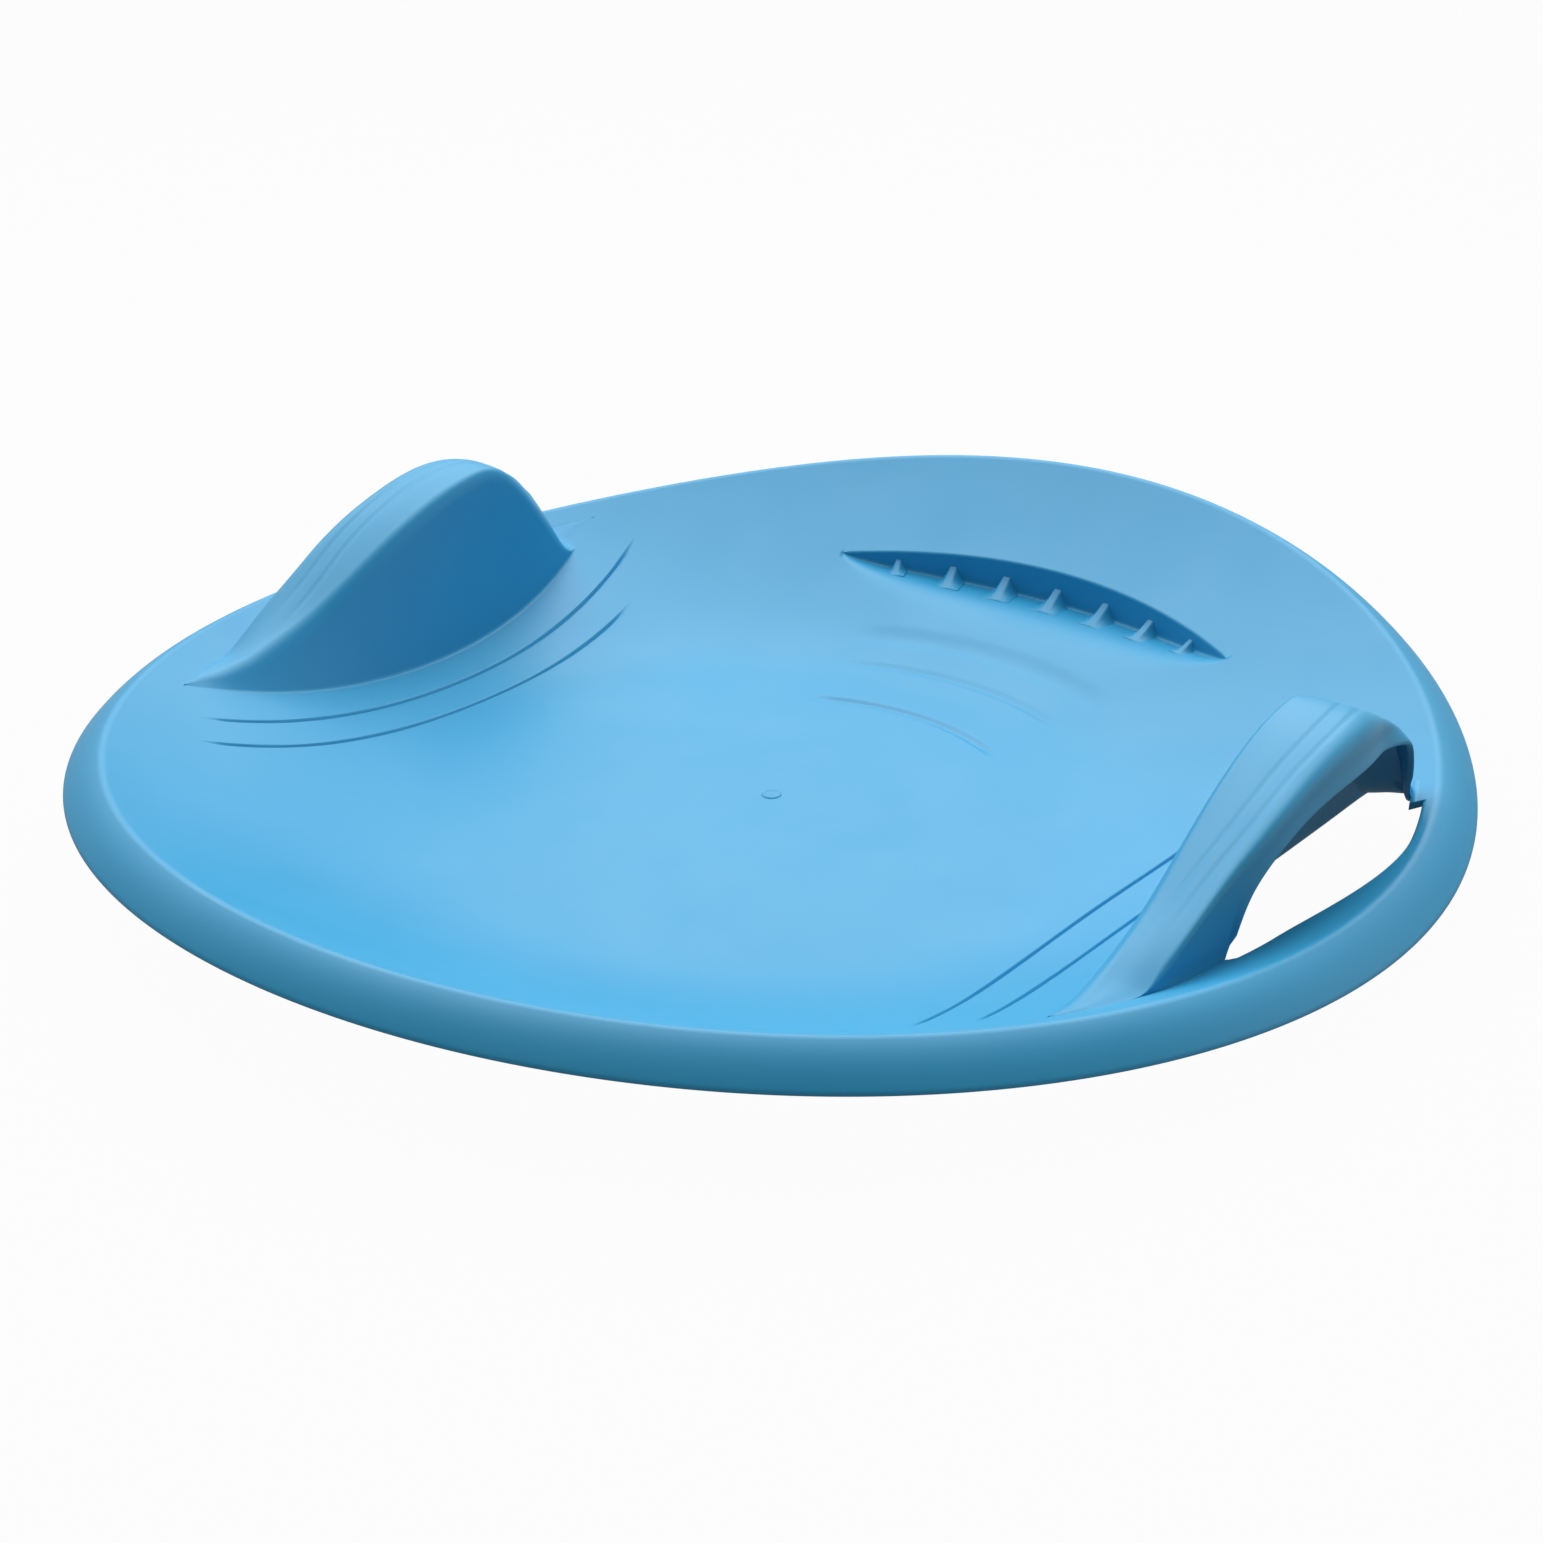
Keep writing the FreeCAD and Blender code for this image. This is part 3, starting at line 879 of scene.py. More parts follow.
def standing(y):
    """1 where the shoulder stands above the dish, falling to 0 where it lies flat."""
    return ease(shoulder_rise(y) / sled().handle.full_rise)


def shoulder_corner(y):
    """X and Z of the outer shoulder, before it is rounded."""
    return lip_line(y), plain_dish(lip_line(y), y) + shoulder_rise(y)


def lip_edge(y):
    """Z of the lip's lower edge: the arch over the hand hole, and the dish's underside beyond it."""
    handle = sled().handle
    lift = handle_rise(y, "hole") * ease((handle.hole_stop - y) / handle.hole_stop_span)
    arch = plain_dish(edge_line(y), y) - sled().saucer.wall + lift
    least = handle.least_lip * np.maximum(taper(y), handle.least_taper)
    return np.minimum(arch, shoulder_corner(y)[1] - least)


def towards(start, end):
    """Distance and direction from one line of points to another."""
    gap = end - start
    reach = np.linalg.norm(gap, axis=-1, keepdims=True)
    return reach, gap / np.maximum(reach, NO_LENGTH)


def corner_curve(before, corner, after, count):
    """A smooth curve round a corner, from one point before it to one after it."""
    share = np.linspace(0, 1, count)[None, :, None]
    start = (1 - share) ** 2 * before[:, None]
    return start + 2 * share * (1 - share) * corner[:, None] + share ** 2 * after[:, None]


def straight(start, end, count):
    """Points between two lines of points, without the two ends."""
    share = np.linspace(0, 1, count + 2)[None, 1:-1, None]
    return start[:, None] + (end - start)[:, None] * share


def grip_grooves(sections, y):
    """Depth of the grooves along the grip band, over the whole section."""
    handle = sled().handle
    from_lip = lip_line(y)[:, None] - sections[..., 0]
    places = (handle.grip_inset, handle.grip_inset + handle.grip_pitch)
    grooves = sum(notch((from_lip - place) / handle.grip_half_width) for place in places)
    fade = line_fade(y, handle.grip_rear, handle.grip_front, handle.grip_fade)[:, None]
    return handle.grip_depth * grooves * fade


def eased_along(sections):
    """Cross-sections with sudden changes along the handle eased out."""
    eased = sections.copy()
    for _ in range(EASING_PASSES):
        eased[1:-1] = (eased[:-2] + 2 * eased[1:-1] + eased[2:]) / 4
    return eased


def limited(size, share, reach):
    """A tangent length that leaves room on the edge beside it."""
    return np.minimum(size, share * reach[:, 0])[:, None]


def handle_section(y):
    """Cross-sections of the handle square to Y, as X and Z.

    Returns the smooth section, the depth of its grooves, and where the wall and the band end.
    """
    handle = sled().handle
    foot = np.stack([foot_line(y), plain_dish(foot_line(y), y)], axis=-1)
    start = np.stack([foot_start(y), plain_dish(foot_start(y), y)], axis=-1)
    crest = np.stack(crest_corner(y), axis=-1)
    shoulder = np.stack(shoulder_corner(y), axis=-1)
    edge = np.stack([edge_line(y), lip_edge(y)], axis=-1)
    wall_reach, up = towards(foot, crest)
    band_reach, across = towards(crest, shoulder)
    lip_depth, down = towards(shoulder, edge)

    foot_round = limited(handle.foot_round * taper(y), FOOT_SHARE, wall_reach)
    crest_in = limited(handle.crest_round, CREST_SHARE, band_reach)
    crest_down = limited(handle.crest_down, CREST_SHARE, wall_reach)
    growth = ease((y - handle.round_start) / handle.round_span)
    wanted = handle.shoulder_round_rear + (handle.shoulder_round - handle.shoulder_round_rear) * growth
    nose = ease((y - handle.nose_round_start) / handle.nose_round_span)
    across_nose = wanted + (handle.nose_round - wanted) * nose
    share = SHOULDER_SHARE + (NOSE_SHARE - SHOULDER_SHARE) * nose
    shoulder_in = limited(across_nose * standing(y), share, band_reach)
    shoulder_down = limited(wanted * standing(y), LIP_SHARE, lip_depth)

    wall_top, band_start = crest - up * crest_down, crest + across * crest_in
    band_end, lip_start = shoulder - across * shoulder_in, shoulder + down * shoulder_down
    band = straight(band_start, band_end, BAND_ROWS)
    places = np.linspace(0, 1, BAND_ROWS + 2)[1:-1]
    swell = handle.crown * np.sin(math.pi * places) ** 2 * taper(y)[:, None]
    above = np.stack([-across[:, 1], across[:, 0]], axis=-1)
    band = band + above[:, None] * swell[..., None]

    edge_rows = nose_rows(sled().saucer.wall / 2, EDGE_ROWS)[::-1]
    lip_end = edge - down * edge_rows[0]
    wall_points = [
        corner_curve(start, foot, foot + up * foot_round, FOOT_ROWS),
        straight(foot + up * foot_round, wall_top, WALL_ROWS),
    ]
    band_points = [corner_curve(wall_top, crest, band_start, CREST_ROWS), band]
    lip_points = [
        corner_curve(band_end, shoulder, lip_start, SHOULDER_ROWS),
        straight(lip_start, lip_end, LIP_ROWS),
        edge[:, None] - down[:, None] * edge_rows[None, :, None],
    ]
    sections = eased_along(np.concatenate(wall_points + band_points + lip_points, axis=1))
    above_edge = sections[..., 1] - edge[:, 1][:, None]
    wall_end = sum(points.shape[1] for points in wall_points)
    band_last = wall_end + sum(points.shape[1] for points in band_points)
    turn_out = handle.lip_turn * (1 - ease(above_edge / handle.lip_turn_depth)) * standing(y)[:, None]
    turn_out[:, :band_last] = 0.0
    grooves = grip_grooves(sections, y)
    grooves[:, :wall_end] = 0.0
    sections[..., 0] += turn_out
    return sections, grooves, wall_end, band_last


def section_normals(sections):
    """Normals of cross-sections within their own planes. Rows that coincide take the normal before them."""
    tangent = np.gradient(sections, axis=1)
    normals = np.stack([-tangent[..., 1], tangent[..., 0]], axis=-1)
    reach = np.linalg.norm(normals, axis=-1, keepdims=True)
    normals = normals / np.maximum(reach, NO_NORMAL)
    for row in range(1, sections.shape[1]):
        normals[:, row] = np.where(reach[:, row] > WELD, normals[:, row], normals[:, row - 1])
    return normals


def grid_normals(points):
    """Normals of a grid of points, columns by rows."""
    normals = np.cross(np.gradient(points, axis=1), np.gradient(points, axis=0))
    return normals / np.maximum(np.linalg.norm(normals, axis=-1, keepdims=True), NO_NORMAL)


def lifted(sections, y):
    """Cross-sections put at their places along Y."""
    along = np.broadcast_to(y[:, None], sections.shape[:2])
    return np.stack([sections[..., 0], along, sections[..., 1]], axis=-1)


def handle_wall(y, rows, band_end):
    """Thickness of the handle, which falls towards its tips and where the lip lies flat."""
    handle = sled().handle
    thick = np.minimum(sled().saucer.wall, handle.wall_growth * plan_width(y) + handle.tip_wall)
    lip = thick * (handle.flat_lip + (1 - handle.flat_lip) * standing(y))
    return np.where(np.arange(rows) >= band_end, lip[:, None], thick[:, None])


def handle_skins():
    """Outer and inner skins of the whole handle, their normals, and where its wall and its band end."""
    y = handle_stations()
    sections, grooves, wall_end, band_end = handle_section(y)
    normals = section_normals(sections)
    thick = handle_wall(y, sections.shape[1], band_end)
    steps = np.linalg.norm(np.diff(sections, axis=1), axis=-1)
    from_edge = np.flip(np.cumsum(np.flip(steps, axis=1), axis=1), axis=1)
    from_edge = np.concatenate([from_edge, np.zeros((len(y), 1))], axis=1)
    half = half_thickness(from_edge, thick / 2)
    middle = sections - normals * (thick / 2)[..., None]
    outer = lifted(middle + normals * (half - grooves)[..., None], y)
    inner = lifted(middle - normals * half[..., None], y)
    whole = (half > WHOLE * thick / 2)[..., None]
    outer_normals = grid_normals(outer)
    outer_normals[:, 0] = face_normals(plain_dish, outer[:, 0, 0], y)
    return outer, inner, outer_normals * whole, -grid_normals(inner) * whole, wall_end, band_end


# Rims and rails

def hole_edge(angle):
    """Radius of the hand hole's outer edge, and whether there is a hole at that angle."""
    hole = sled().hole
    narrow = ease((hole.narrow_angle - angle) / (hole.narrow_angle - hole.wide_angle))
    edge = hole.narrow_radius + (hole.wide_radius - hole.narrow_radius) * narrow
    open_here = (angle > hole.tab_angle) & (angle < hole.rear_angle)
    closing = ease((hole.rear_angle - angle) / hole.closing)
    border = rail_border(angle)
    return np.where(open_here, border + (edge - border) * closing, border), open_here


def tab_relief(x, y):
    """Height of the bead on the tab in front of the hand hole."""
    hole = sled().hole
    radius, angle = polar(np.abs(x), y)
    edge, _ = hole_edge(angle)
    inside = radius - edge
    on_tab = (angle > hole.front_angle) & (angle < hole.tab_angle)
    return hole.bead_height * notch(2 * inside / hole.bead_width - 1) * on_tab


def rail_face(x, y):
    """Height of a rail's upper face."""
    return upper_face(x, y) + tab_relief(x, y)


def rim_rows(inner):
    """Radii across a rim: its land, the crest and the skirt, closer together where it bends."""
    saucer = sled().saucer
    crest_start = crest_radius() - saucer.crest_before
    skirt_start = crest_radius() + saucer.crest_round
    from_edge = np.concatenate([nose_rows(saucer.edge_round, EDGE_ROWS), SKIRT_STEPS])
    edge = saucer.outer_radius - from_edge[::-1]
    from_border = np.concatenate([nose_rows(saucer.wall / 2, EDGE_ROWS), BORDER_STEPS])
    border = np.minimum(inner[:, None] + from_border, crest_start - ROW_GAP + ROW_SQUEEZE * from_border)
    land = stretch(border[:, -1], crest_start, 8)[:, 1:-1]
    crest = np.linspace(crest_start, skirt_start, 19)
    skirt = np.linspace(skirt_start, edge[0], 9)[1:-1]
    return np.concatenate([border, land, repeated(np.concatenate([crest, skirt, edge]), inner)], axis=1)


def rim_skins(angles, inner, face, open_edge):
    """Skins of a rim between its inner border and the skirt's lower edge, which is level underneath."""
    saucer = sled().saucer
    full = saucer.wall / 2
    radii = rim_rows(inner)
    x, y = plan_points(angles, radii)
    at_hole = half_thickness(radii - inner[:, None], full)
    half = np.where(open_edge[:, None], at_hole, full)
    from_edge = saucer.outer_radius - radii
    rounded = saucer.edge_round - half_thickness(from_edge, saucer.edge_round)
    lowest = dish_and_rim(saucer.outer_radius, angles)[:, None] - saucer.edge_round
    under = smooth_face(x, y) - full - half
    outer = stacked(x, y, face(x, y) - full + half - rounded)
    inner_skin = stacked(x, y, np.maximum(under, lowest))
    whole = half > WHOLE * full
    above_edge = whole & (from_edge > saucer.edge_round)
    above_level = whole & (under > lowest + LEVEL_GAP)
    outer_normals = face_normals(face, x, y) * above_edge.reshape(-1, 1)
    inner_normals = -face_normals(smooth_face, x, y) * above_level.reshape(-1, 1)
    return (outer, inner_skin, outer_normals, inner_normals), grid_faces(*radii.shape)


def rail_angles():
    """Angles along the right-hand rail, closer together where the hand hole's edge turns."""
    hole = sled().hole
    first, last = side_zone()
    hair = math.radians(0.01)
    closing = hole.rear_angle - hole.closing
    stops = [
        np.linspace(first, hole.front_angle - hair, 28),
        np.linspace(hole.front_angle + hair, hole.tab_angle - 3 * hair, 30),
        np.linspace(hole.tab_angle + hair, closing - 10 * hair, 70),
        np.linspace(closing - 5 * hair, hole.rear_angle - hair, 12),
        np.linspace(hole.rear_angle + hair, last, 60),
    ]
    return np.unique(np.concatenate(stops))


# Plastic

def feed(tree, socket, value):
    """Feed a socket from another socket or with a plain value."""
    if isinstance(value, bpy.types.NodeSocket):
        tree.links.new(value, socket)
    else:
        socket.default_value = value


def new_node(tree, kind, inputs=None, **settings):
    """A node with some of its settings, and with some of its inputs fed."""
    node = tree.nodes.new(kind)
    for name, value in settings.items():
        setattr(node, name, value)
    for name, value in (inputs or {}).items():
        feed(tree, node.inputs[name], value)
    return node


def noise_at(tree, place, scale, detail):
    """A noise over the given places."""
    inputs = {"Vector": place, "Scale": scale, "Detail": detail}
    return new_node(tree, "ShaderNodeTexNoise", inputs).outputs["Fac"]


def ranged(tree, value, start, end, low, high, **settings):
    """A value that runs from low to high while another runs from start to end."""
    inputs = {"Value": value, "From Min": start, "From Max": end, "To Min": low, "To Max": high}
    return new_node(tree, "ShaderNodeMapRange", inputs, **settings).outputs["Result"]


def mottle(tree, place, scale, low, high):
    """A slow noise between two values."""
    return ranged(tree, noise_at(tree, place, scale, MOTTLE_DETAIL), *MOTTLE_RANGE, low, high)


def mixed_colour(tree, factor, first, second):
    """One colour over another."""
    inputs = {"Factor": factor, "A": first, "B": second}
    return new_node(tree, "ShaderNodeMix", inputs, data_type="RGBA").outputs["Result"]


def hair_scratches(tree, place):
    """Sparse fine scuffs, as on a sled that has been handled."""
    inputs = {"Vector": place, "Scale": SCUFF_STRETCH, "Rotation": SCUFF_TURN}
    stretched = new_node(tree, "ShaderNodeMapping", inputs).outputs["Vector"]
    noise = noise_at(tree, stretched, SCUFF_SCALE, SCUFF_DETAIL)
    return ranged(tree, noise, *SCUFF_RANGE, 0.0, sled().plastic.scuff_share)


def plastic():
    """Satin moulded plastic: slow mottle in the pigment, fine grain, a few faint scuffs."""
    name = "moulded_blue_plastic"
    if name in bpy.data.materials:
        return bpy.data.materials[name]
    finish = sled().plastic
    body, pale, scuff = ((*shade, 1.0) for shade in (finish.body, finish.pale, finish.scuff))
    material = bpy.data.materials.new(name)
    material.use_nodes = True
    tree = material.node_tree
    shader = tree.nodes["Principled BSDF"]
    place = new_node(tree, "ShaderNodeTexCoord").outputs["Object"]

    pigment = mixed_colour(tree, mottle(tree, place, finish.pigment_scale, 0.0, 1.0), body, pale)
    scuffed = mixed_colour(tree, hair_scratches(tree, place), pigment, scuff)
    smoothest = finish.roughness - finish.roughness_spread
    roughest = finish.roughness + finish.roughness_spread
    satin = mottle(tree, place, finish.roughness_scale, smoothest, roughest)
    grain = noise_at(tree, place, finish.grain_scale, GRAIN_DETAIL)
    inputs = {"Height": grain, "Strength": finish.grain_strength, "Distance": finish.grain}
    normal = new_node(tree, "ShaderNodeBump", inputs).outputs["Normal"]
    looks = {"Base Color": scuffed, "Roughness": satin, "IOR": finish.refraction, "Normal": normal}
    for socket, value in looks.items():
        feed(tree, shader.inputs[socket], value)
    return material


# Pieces

class SLED_OT_floor(bpy.types.Operator):
    """Make the flat floor of the sled"""

    bl_idname = "sled.floor"
    bl_label = "Floor"

    def execute(self, context):
        saucer, relief = sled().saucer, sled().relief
        angles = full_turn(361)
        fine = relief.first_arc + ARC_MARGIN * relief.arc_half_width * np.linspace(-1, 1, 11)
        radii = np.concatenate([
            np.linspace(0, fine[0], 18)[:-1], fine, np.linspace(fine[-1], saucer.floor_radius, 6)[1:],
        ])
        add_sheet("floor_shell", angles, repeated(radii, angles), "floor_pan")
        return {"FINISHED"}


class SLED_OT_gate_mark(bpy.types.Operator):
    """Make the small round moulding mark in the middle of the floor"""

    bl_idname = "sled.gate_mark"
    bl_label = "Moulding mark"

    def execute(self, context):
        saucer = sled().saucer
        radii, lift = np.transpose(GATE_PROFILE) * [[saucer.gate_radius], [saucer.gate_height]]
        angles = full_turn(65)
        x, y = plan_points(angles, repeated(radii, angles))
        outer = stacked(x, y, saucer.wall + repeated(lift, angles))
        inner = stacked(x, y, np.full_like(x, saucer.wall - saucer.gate_sink))
        skins = (outer, inner, plain_normals(outer), np.zeros_like(inner))
        add_shell("gate_mark", skins, grid_faces(*x.shape), "gate_boss")
        return {"FINISHED"}


class SLED_OT_front_bowl(bpy.types.Operator):
    """Make the front of the dish, round the foot rest"""

    bl_idname = "sled.front_bowl"
    bl_label = "Front bowl"

    def execute(self, context):
        saucer, rest, relief = sled().saucer, sled().foot_rest, sled().relief
        reach, _ = side_zone()
        side = np.linspace(rest.half_angle, reach, 32)[1:]
        angles = np.concatenate([-side[::-1], step_angles(), side])
        edge = np.minimum(pocket_edge(angles), rest.wall_radius)
        edge[np.abs(angles) >= rest.half_angle] = rest.wall_radius
        fine = relief.second_arc + ARC_MARGIN * relief.arc_half_width * np.linspace(-1, 1, 9)
        near = np.concatenate([np.linspace(saucer.floor_radius, fine[0], 6)[:-1], fine])
        inside = np.concatenate([repeated(near, angles), stretch(fine[-1], edge, 22)[:, 1:]], axis=1)
        outside = stretch(rest.wall_radius + step_edge_round(angles), rim_radius(), 14)
        skins, faces, count = [], [], 0
        for radii in (inside, outside):
            skins.append(sheet_skins(*plan_points(angles, radii)))
            faces.append(grid_faces(*radii.shape, first=count))
            count += radii.size
        skins = [np.concatenate(parts) for parts in zip(*skins)]
        add_shell("front_bowl_shell", skins, np.concatenate(faces), "front_bowl")
        return {"FINISHED"}


class SLED_OT_rear_bowl(bpy.types.Operator):
    """Make the rear of the dish"""

    bl_idname = "sled.rear_bowl"
    bl_label = "Rear bowl"

    def execute(self, context):
        _, first = side_zone()
        angles = np.linspace(first, 2 * math.pi - first, 193)
        radii = np.linspace(sled().saucer.floor_radius, rim_radius(), 48)
        add_sheet("rear_bowl_shell", angles, repeated(radii, angles), "rear_bowl")
        return {"FINISHED"}


def groove_radius(angle, start, bend):
    """Radius at which a line from the middle crosses a thigh groove."""
    square = np.cos(angle) ** 2 / (2 * bend)
    inside = np.maximum(np.sin(angle) ** 2 - 4 * square * start, 0.0)
    return 2 * start / (np.sin(angle) + np.sqrt(inside))


class SLED_OT_side_bowls(bpy.types.Operator):
    """Make the two sides of the dish, up to the handles' feet"""

    bl_idname = "sled.side_bowls"
    bl_label = "Side bowls"

    def execute(self, context):
        saucer, relief = sled().saucer, sled().relief
        stations = handle_stations()[::-1]
        foot_x = foot_start(stations)
        at_handle = np.arctan2(foot_x, stations)
        first, last = side_zone()
        ahead = np.linspace(first, at_handle[0], 26)[:-1]
        behind = np.linspace(at_handle[-1], last, 26)[1:]
        angles = np.concatenate([ahead, at_handle, behind])
        border = np.concatenate([rail_border(ahead), np.hypot(foot_x, stations), rail_border(behind)])

        span = GROOVE_MARGIN * relief.groove_half_width
        near = groove_radius(angles, relief.near_groove, relief.near_bend)
        near = np.minimum(near, border - FROM_FOOT * span)
        far = groove_radius(angles, relief.far_groove, relief.far_bend)
        far = np.minimum(far, near - APART * span)
        across = span * np.linspace(-1, 1, 11)[None, :]
        radii = np.concatenate([
            stretch(saucer.floor_radius, far - span, 22)[:, :-1],
            far[:, None] + across,
            stretch(far + span, near - span, 8)[:, 1:-1],
            near[:, None] + across,
            stretch(near + span, border, 8)[:, 1:],
        ], axis=1)
        both_sides("bowl_shell", sheet_skins(*plan_points(angles, radii)), grid_faces(*radii.shape), "bowl")
        return {"FINISHED"}


class SLED_OT_rims(bpy.types.Operator):
    """Make the front and rear rims, with their crest and skirt"""

    bl_idname = "sled.rims"
    bl_label = "Front and rear rims"

    def execute(self, context):
        reach, _ = side_zone()
        for name, middle in (("front_rim", 0.0), ("rear_rim", math.pi)):
            angles = np.linspace(middle - reach, middle + reach, 193)
            inner = np.full_like(angles, rim_radius())
            skins, faces = rim_skins(angles, inner, upper_face, np.zeros(len(angles), bool))
            add_shell(f"{name}_shell", skins, faces, name)
        return {"FINISHED"}


class SLED_OT_rails(bpy.types.Operator):
    """Make the two side rails, with the outer edge of the hand holes"""

    bl_idname = "sled.rails"
    bl_label = "Side rails"

    def execute(self, context):
        angles = rail_angles()
        inner, open_edge = hole_edge(angles)
        skins, faces = rim_skins(angles, inner, rail_face, open_edge)
        both_sides("rail_shell", skins, faces, "rail")
        return {"FINISHED"}


class SLED_OT_handles(bpy.types.Operator):
    """Make both handles: wall, grip band and lip"""

    bl_idname = "sled.handles"
    bl_label = "Handles"

    def execute(self, context):
        *skins, wall_end, band_end = handle_skins()
        rows = skins[0].shape[1]
        parts = (
            ("handle_wall", 0, wall_end),
            ("handle_band", wall_end, band_end),
            ("handle_lip", band_end, rows),
        )
        for part, first, last in parts:
            cut = [skin[:, first:min(last + 1, rows)] for skin in skins]
            faces = grid_faces(*cut[0].shape[:2])
            both_sides(f"{part}_shell", [skin.reshape(-1, 3) for skin in cut], faces, part)
        return {"FINISHED"}


class SLED_OT_foot_rest(bpy.types.Operator):
    """Make the floor and the wall of the foot rest"""

    bl_idname = "sled.foot_rest"
    bl_label = "Foot rest"

    def execute(self, context):
        rest, thick = sled().foot_rest, sled().saucer.wall
        angles = step_angles()
        height = step_height(angles)
        foot_round = np.minimum(rest.foot_round, STEP_FOOT_SHARE * height)
        edge_round = step_edge_round(angles)
        turn_in = rest.wall_radius - foot_round
        radii = stretch(np.minimum(pocket_edge(angles), turn_in), turn_in, 14)
        add_sheet("foot_rest_floor_shell", angles, radii, "foot_rest_floor")

        def column(radius, level):
            return np.stack([np.broadcast_to(radius, angles.shape), level], axis=-1)

        def face_height(radius):
            return smooth_face(*in_plan(radius, angles))

        top = dish(rest.wall_radius, angles)
        floor_level = face_height(turn_in)
        beyond = rest.wall_radius + edge_round
        start, end = column(turn_in, floor_level), column(beyond, face_height(beyond))
        low, high = column(rest.wall_radius, floor_level), column(rest.wall_radius, top)
        rising = column(rest.wall_radius, floor_level + foot_round)
        falling = column(rest.wall_radius, top - edge_round)
        sections = np.concatenate([
            corner_curve(start, low, rising, 9),
            straight(rising, falling, 6),
            corner_curve(falling, high, end, 9),
        ], axis=1)
        inset = np.minimum(thick, STEP_WALL_SHARE * height)[:, None, None]
        inner = sections - section_normals(sections) * inset

        def turned(points):
            x, y = plan_points(angles, points[..., 0])
            return np.stack([x, y, points[..., 1]], axis=-1)

        outer, inner = turned(sections), turned(inner)
        outer_normals = -grid_normals(outer)
        outer_normals[:, -1] = face_normals(upper_face, outer[:, -1, 0], outer[:, -1, 1])
        skins = [values.reshape(-1, 3) for values in (outer, inner, outer_normals, grid_normals(inner))]
        add_shell("foot_rest_wall_shell", skins, grid_faces(*outer.shape[:2]), "foot_rest_wall")
        return {"FINISHED"}


# Gussets

def calculated(tree, operation, *values):
    """The result of a calculation on sockets and numbers."""
    inputs = dict(enumerate(values))
    return new_node(tree, "ShaderNodeMath", inputs, operation=operation).outputs["Value"]


def named_value(tree, name):
    """A number that every seat of a gusset carries."""
    node = new_node(tree, "GeometryNodeInputNamedAttribute", {"Name": name}, data_type="FLOAT")
    return node.outputs["Attribute"]


GUSSET_INPUTS = ("Length", "Height", "Spread", "Sink")


def gusset_tree():
    """Nodes that shape one flared gusset and set it at every seat of the row."""
    tree = bpy.data.node_groups.new("gusset_row", "GeometryNodeTree")
    tree.interface.new_socket("Seats", in_out="INPUT", socket_type="NodeSocketGeometry")
    for name in GUSSET_INPUTS:
        tree.interface.new_socket(name, in_out="INPUT", socket_type="NodeSocketFloat")
    tree.interface.new_socket("Plastic", in_out="INPUT", socket_type="NodeSocketMaterial")
    tree.interface.new_socket("Gussets", in_out="OUTPUT", socket_type="NodeSocketGeometry")
    given = new_node(tree, "NodeGroupInput").outputs
    result = new_node(tree, "NodeGroupOutput").inputs["Gussets"]

    block = new_node(tree, "GeometryNodeMeshCube", {"Vertices X": 13, "Vertices Y": 29, "Vertices Z": 2})
    position = new_node(tree, "GeometryNodeInputPosition").outputs["Position"]
    place = new_node(tree, "ShaderNodeSeparateXYZ", {"Vector": position}).outputs
    along = calculated(tree, "ADD", place["X"], 0.5)
    sideways = calculated(tree, "MULTIPLY", place["Y"], 2.0)
    on_top = calculated(tree, "GREATER_THAN", place["Z"], 0.0)
    from_side = calculated(tree, "SUBTRACT", 1.0, calculated(tree, "ABSOLUTE", sideways))
    flank = calculated(tree, "MINIMUM", calculated(tree, "MULTIPLY", from_side, FLANK_SLOPE), 1.0)
    flare = calculated(tree, "POWER", flank, FLANK_POWER)
    ridge = calculated(tree, "POWER", calculated(tree, "SUBTRACT", 1.0, along), RIDGE_POWER)
    height = calculated(tree, "MULTIPLY", calculated(tree, "MULTIPLY", flare, ridge), given["Height"])
    above = calculated(tree, "MULTIPLY", height, on_top)
    below = calculated(tree, "MULTIPLY", calculated(tree, "SUBTRACT", on_top, 1.0), given["Sink"])
    whole = calculated(tree, "ADD", given["Length"], given["Sink"])
    new_place = new_node(tree, "ShaderNodeCombineXYZ", {
        "X": calculated(tree, "SUBTRACT", given["Sink"], calculated(tree, "MULTIPLY", along, whole)),
        "Y": calculated(tree, "MULTIPLY", sideways, given["Spread"]),
        "Z": calculated(tree, "ADD", above, below),
    })
    shaped = new_node(tree, "GeometryNodeSetPosition", {
        "Geometry": block.outputs["Mesh"],
        "Position": new_place.outputs["Vector"],
    })

    upright = new_node(tree, "ShaderNodeCombineXYZ", {"Z": named_value(tree, "turn")})
    rotation = new_node(tree, "FunctionNodeEulerToRotation", {"Euler": upright.outputs["Vector"]})
    row = new_node(tree, "GeometryNodeInstanceOnPoints", {
        "Points": given["Seats"],
        "Instance": shaped.outputs["Geometry"],
        "Rotation": rotation.outputs["Rotation"],
        "Scale": named_value(tree, "grow"),
    })
    real = new_node(tree, "GeometryNodeRealizeInstances", {"Geometry": row.outputs["Instances"]})
    smooth = new_node(tree, "GeometryNodeSetShadeSmooth", {"Geometry": real.outputs["Geometry"]})
    painted = new_node(tree, "GeometryNodeSetMaterial", {
        "Geometry": smooth.outputs["Geometry"],
        "Material": given["Plastic"],
    })
    tree.links.new(painted.outputs["Geometry"], result)
    return tree


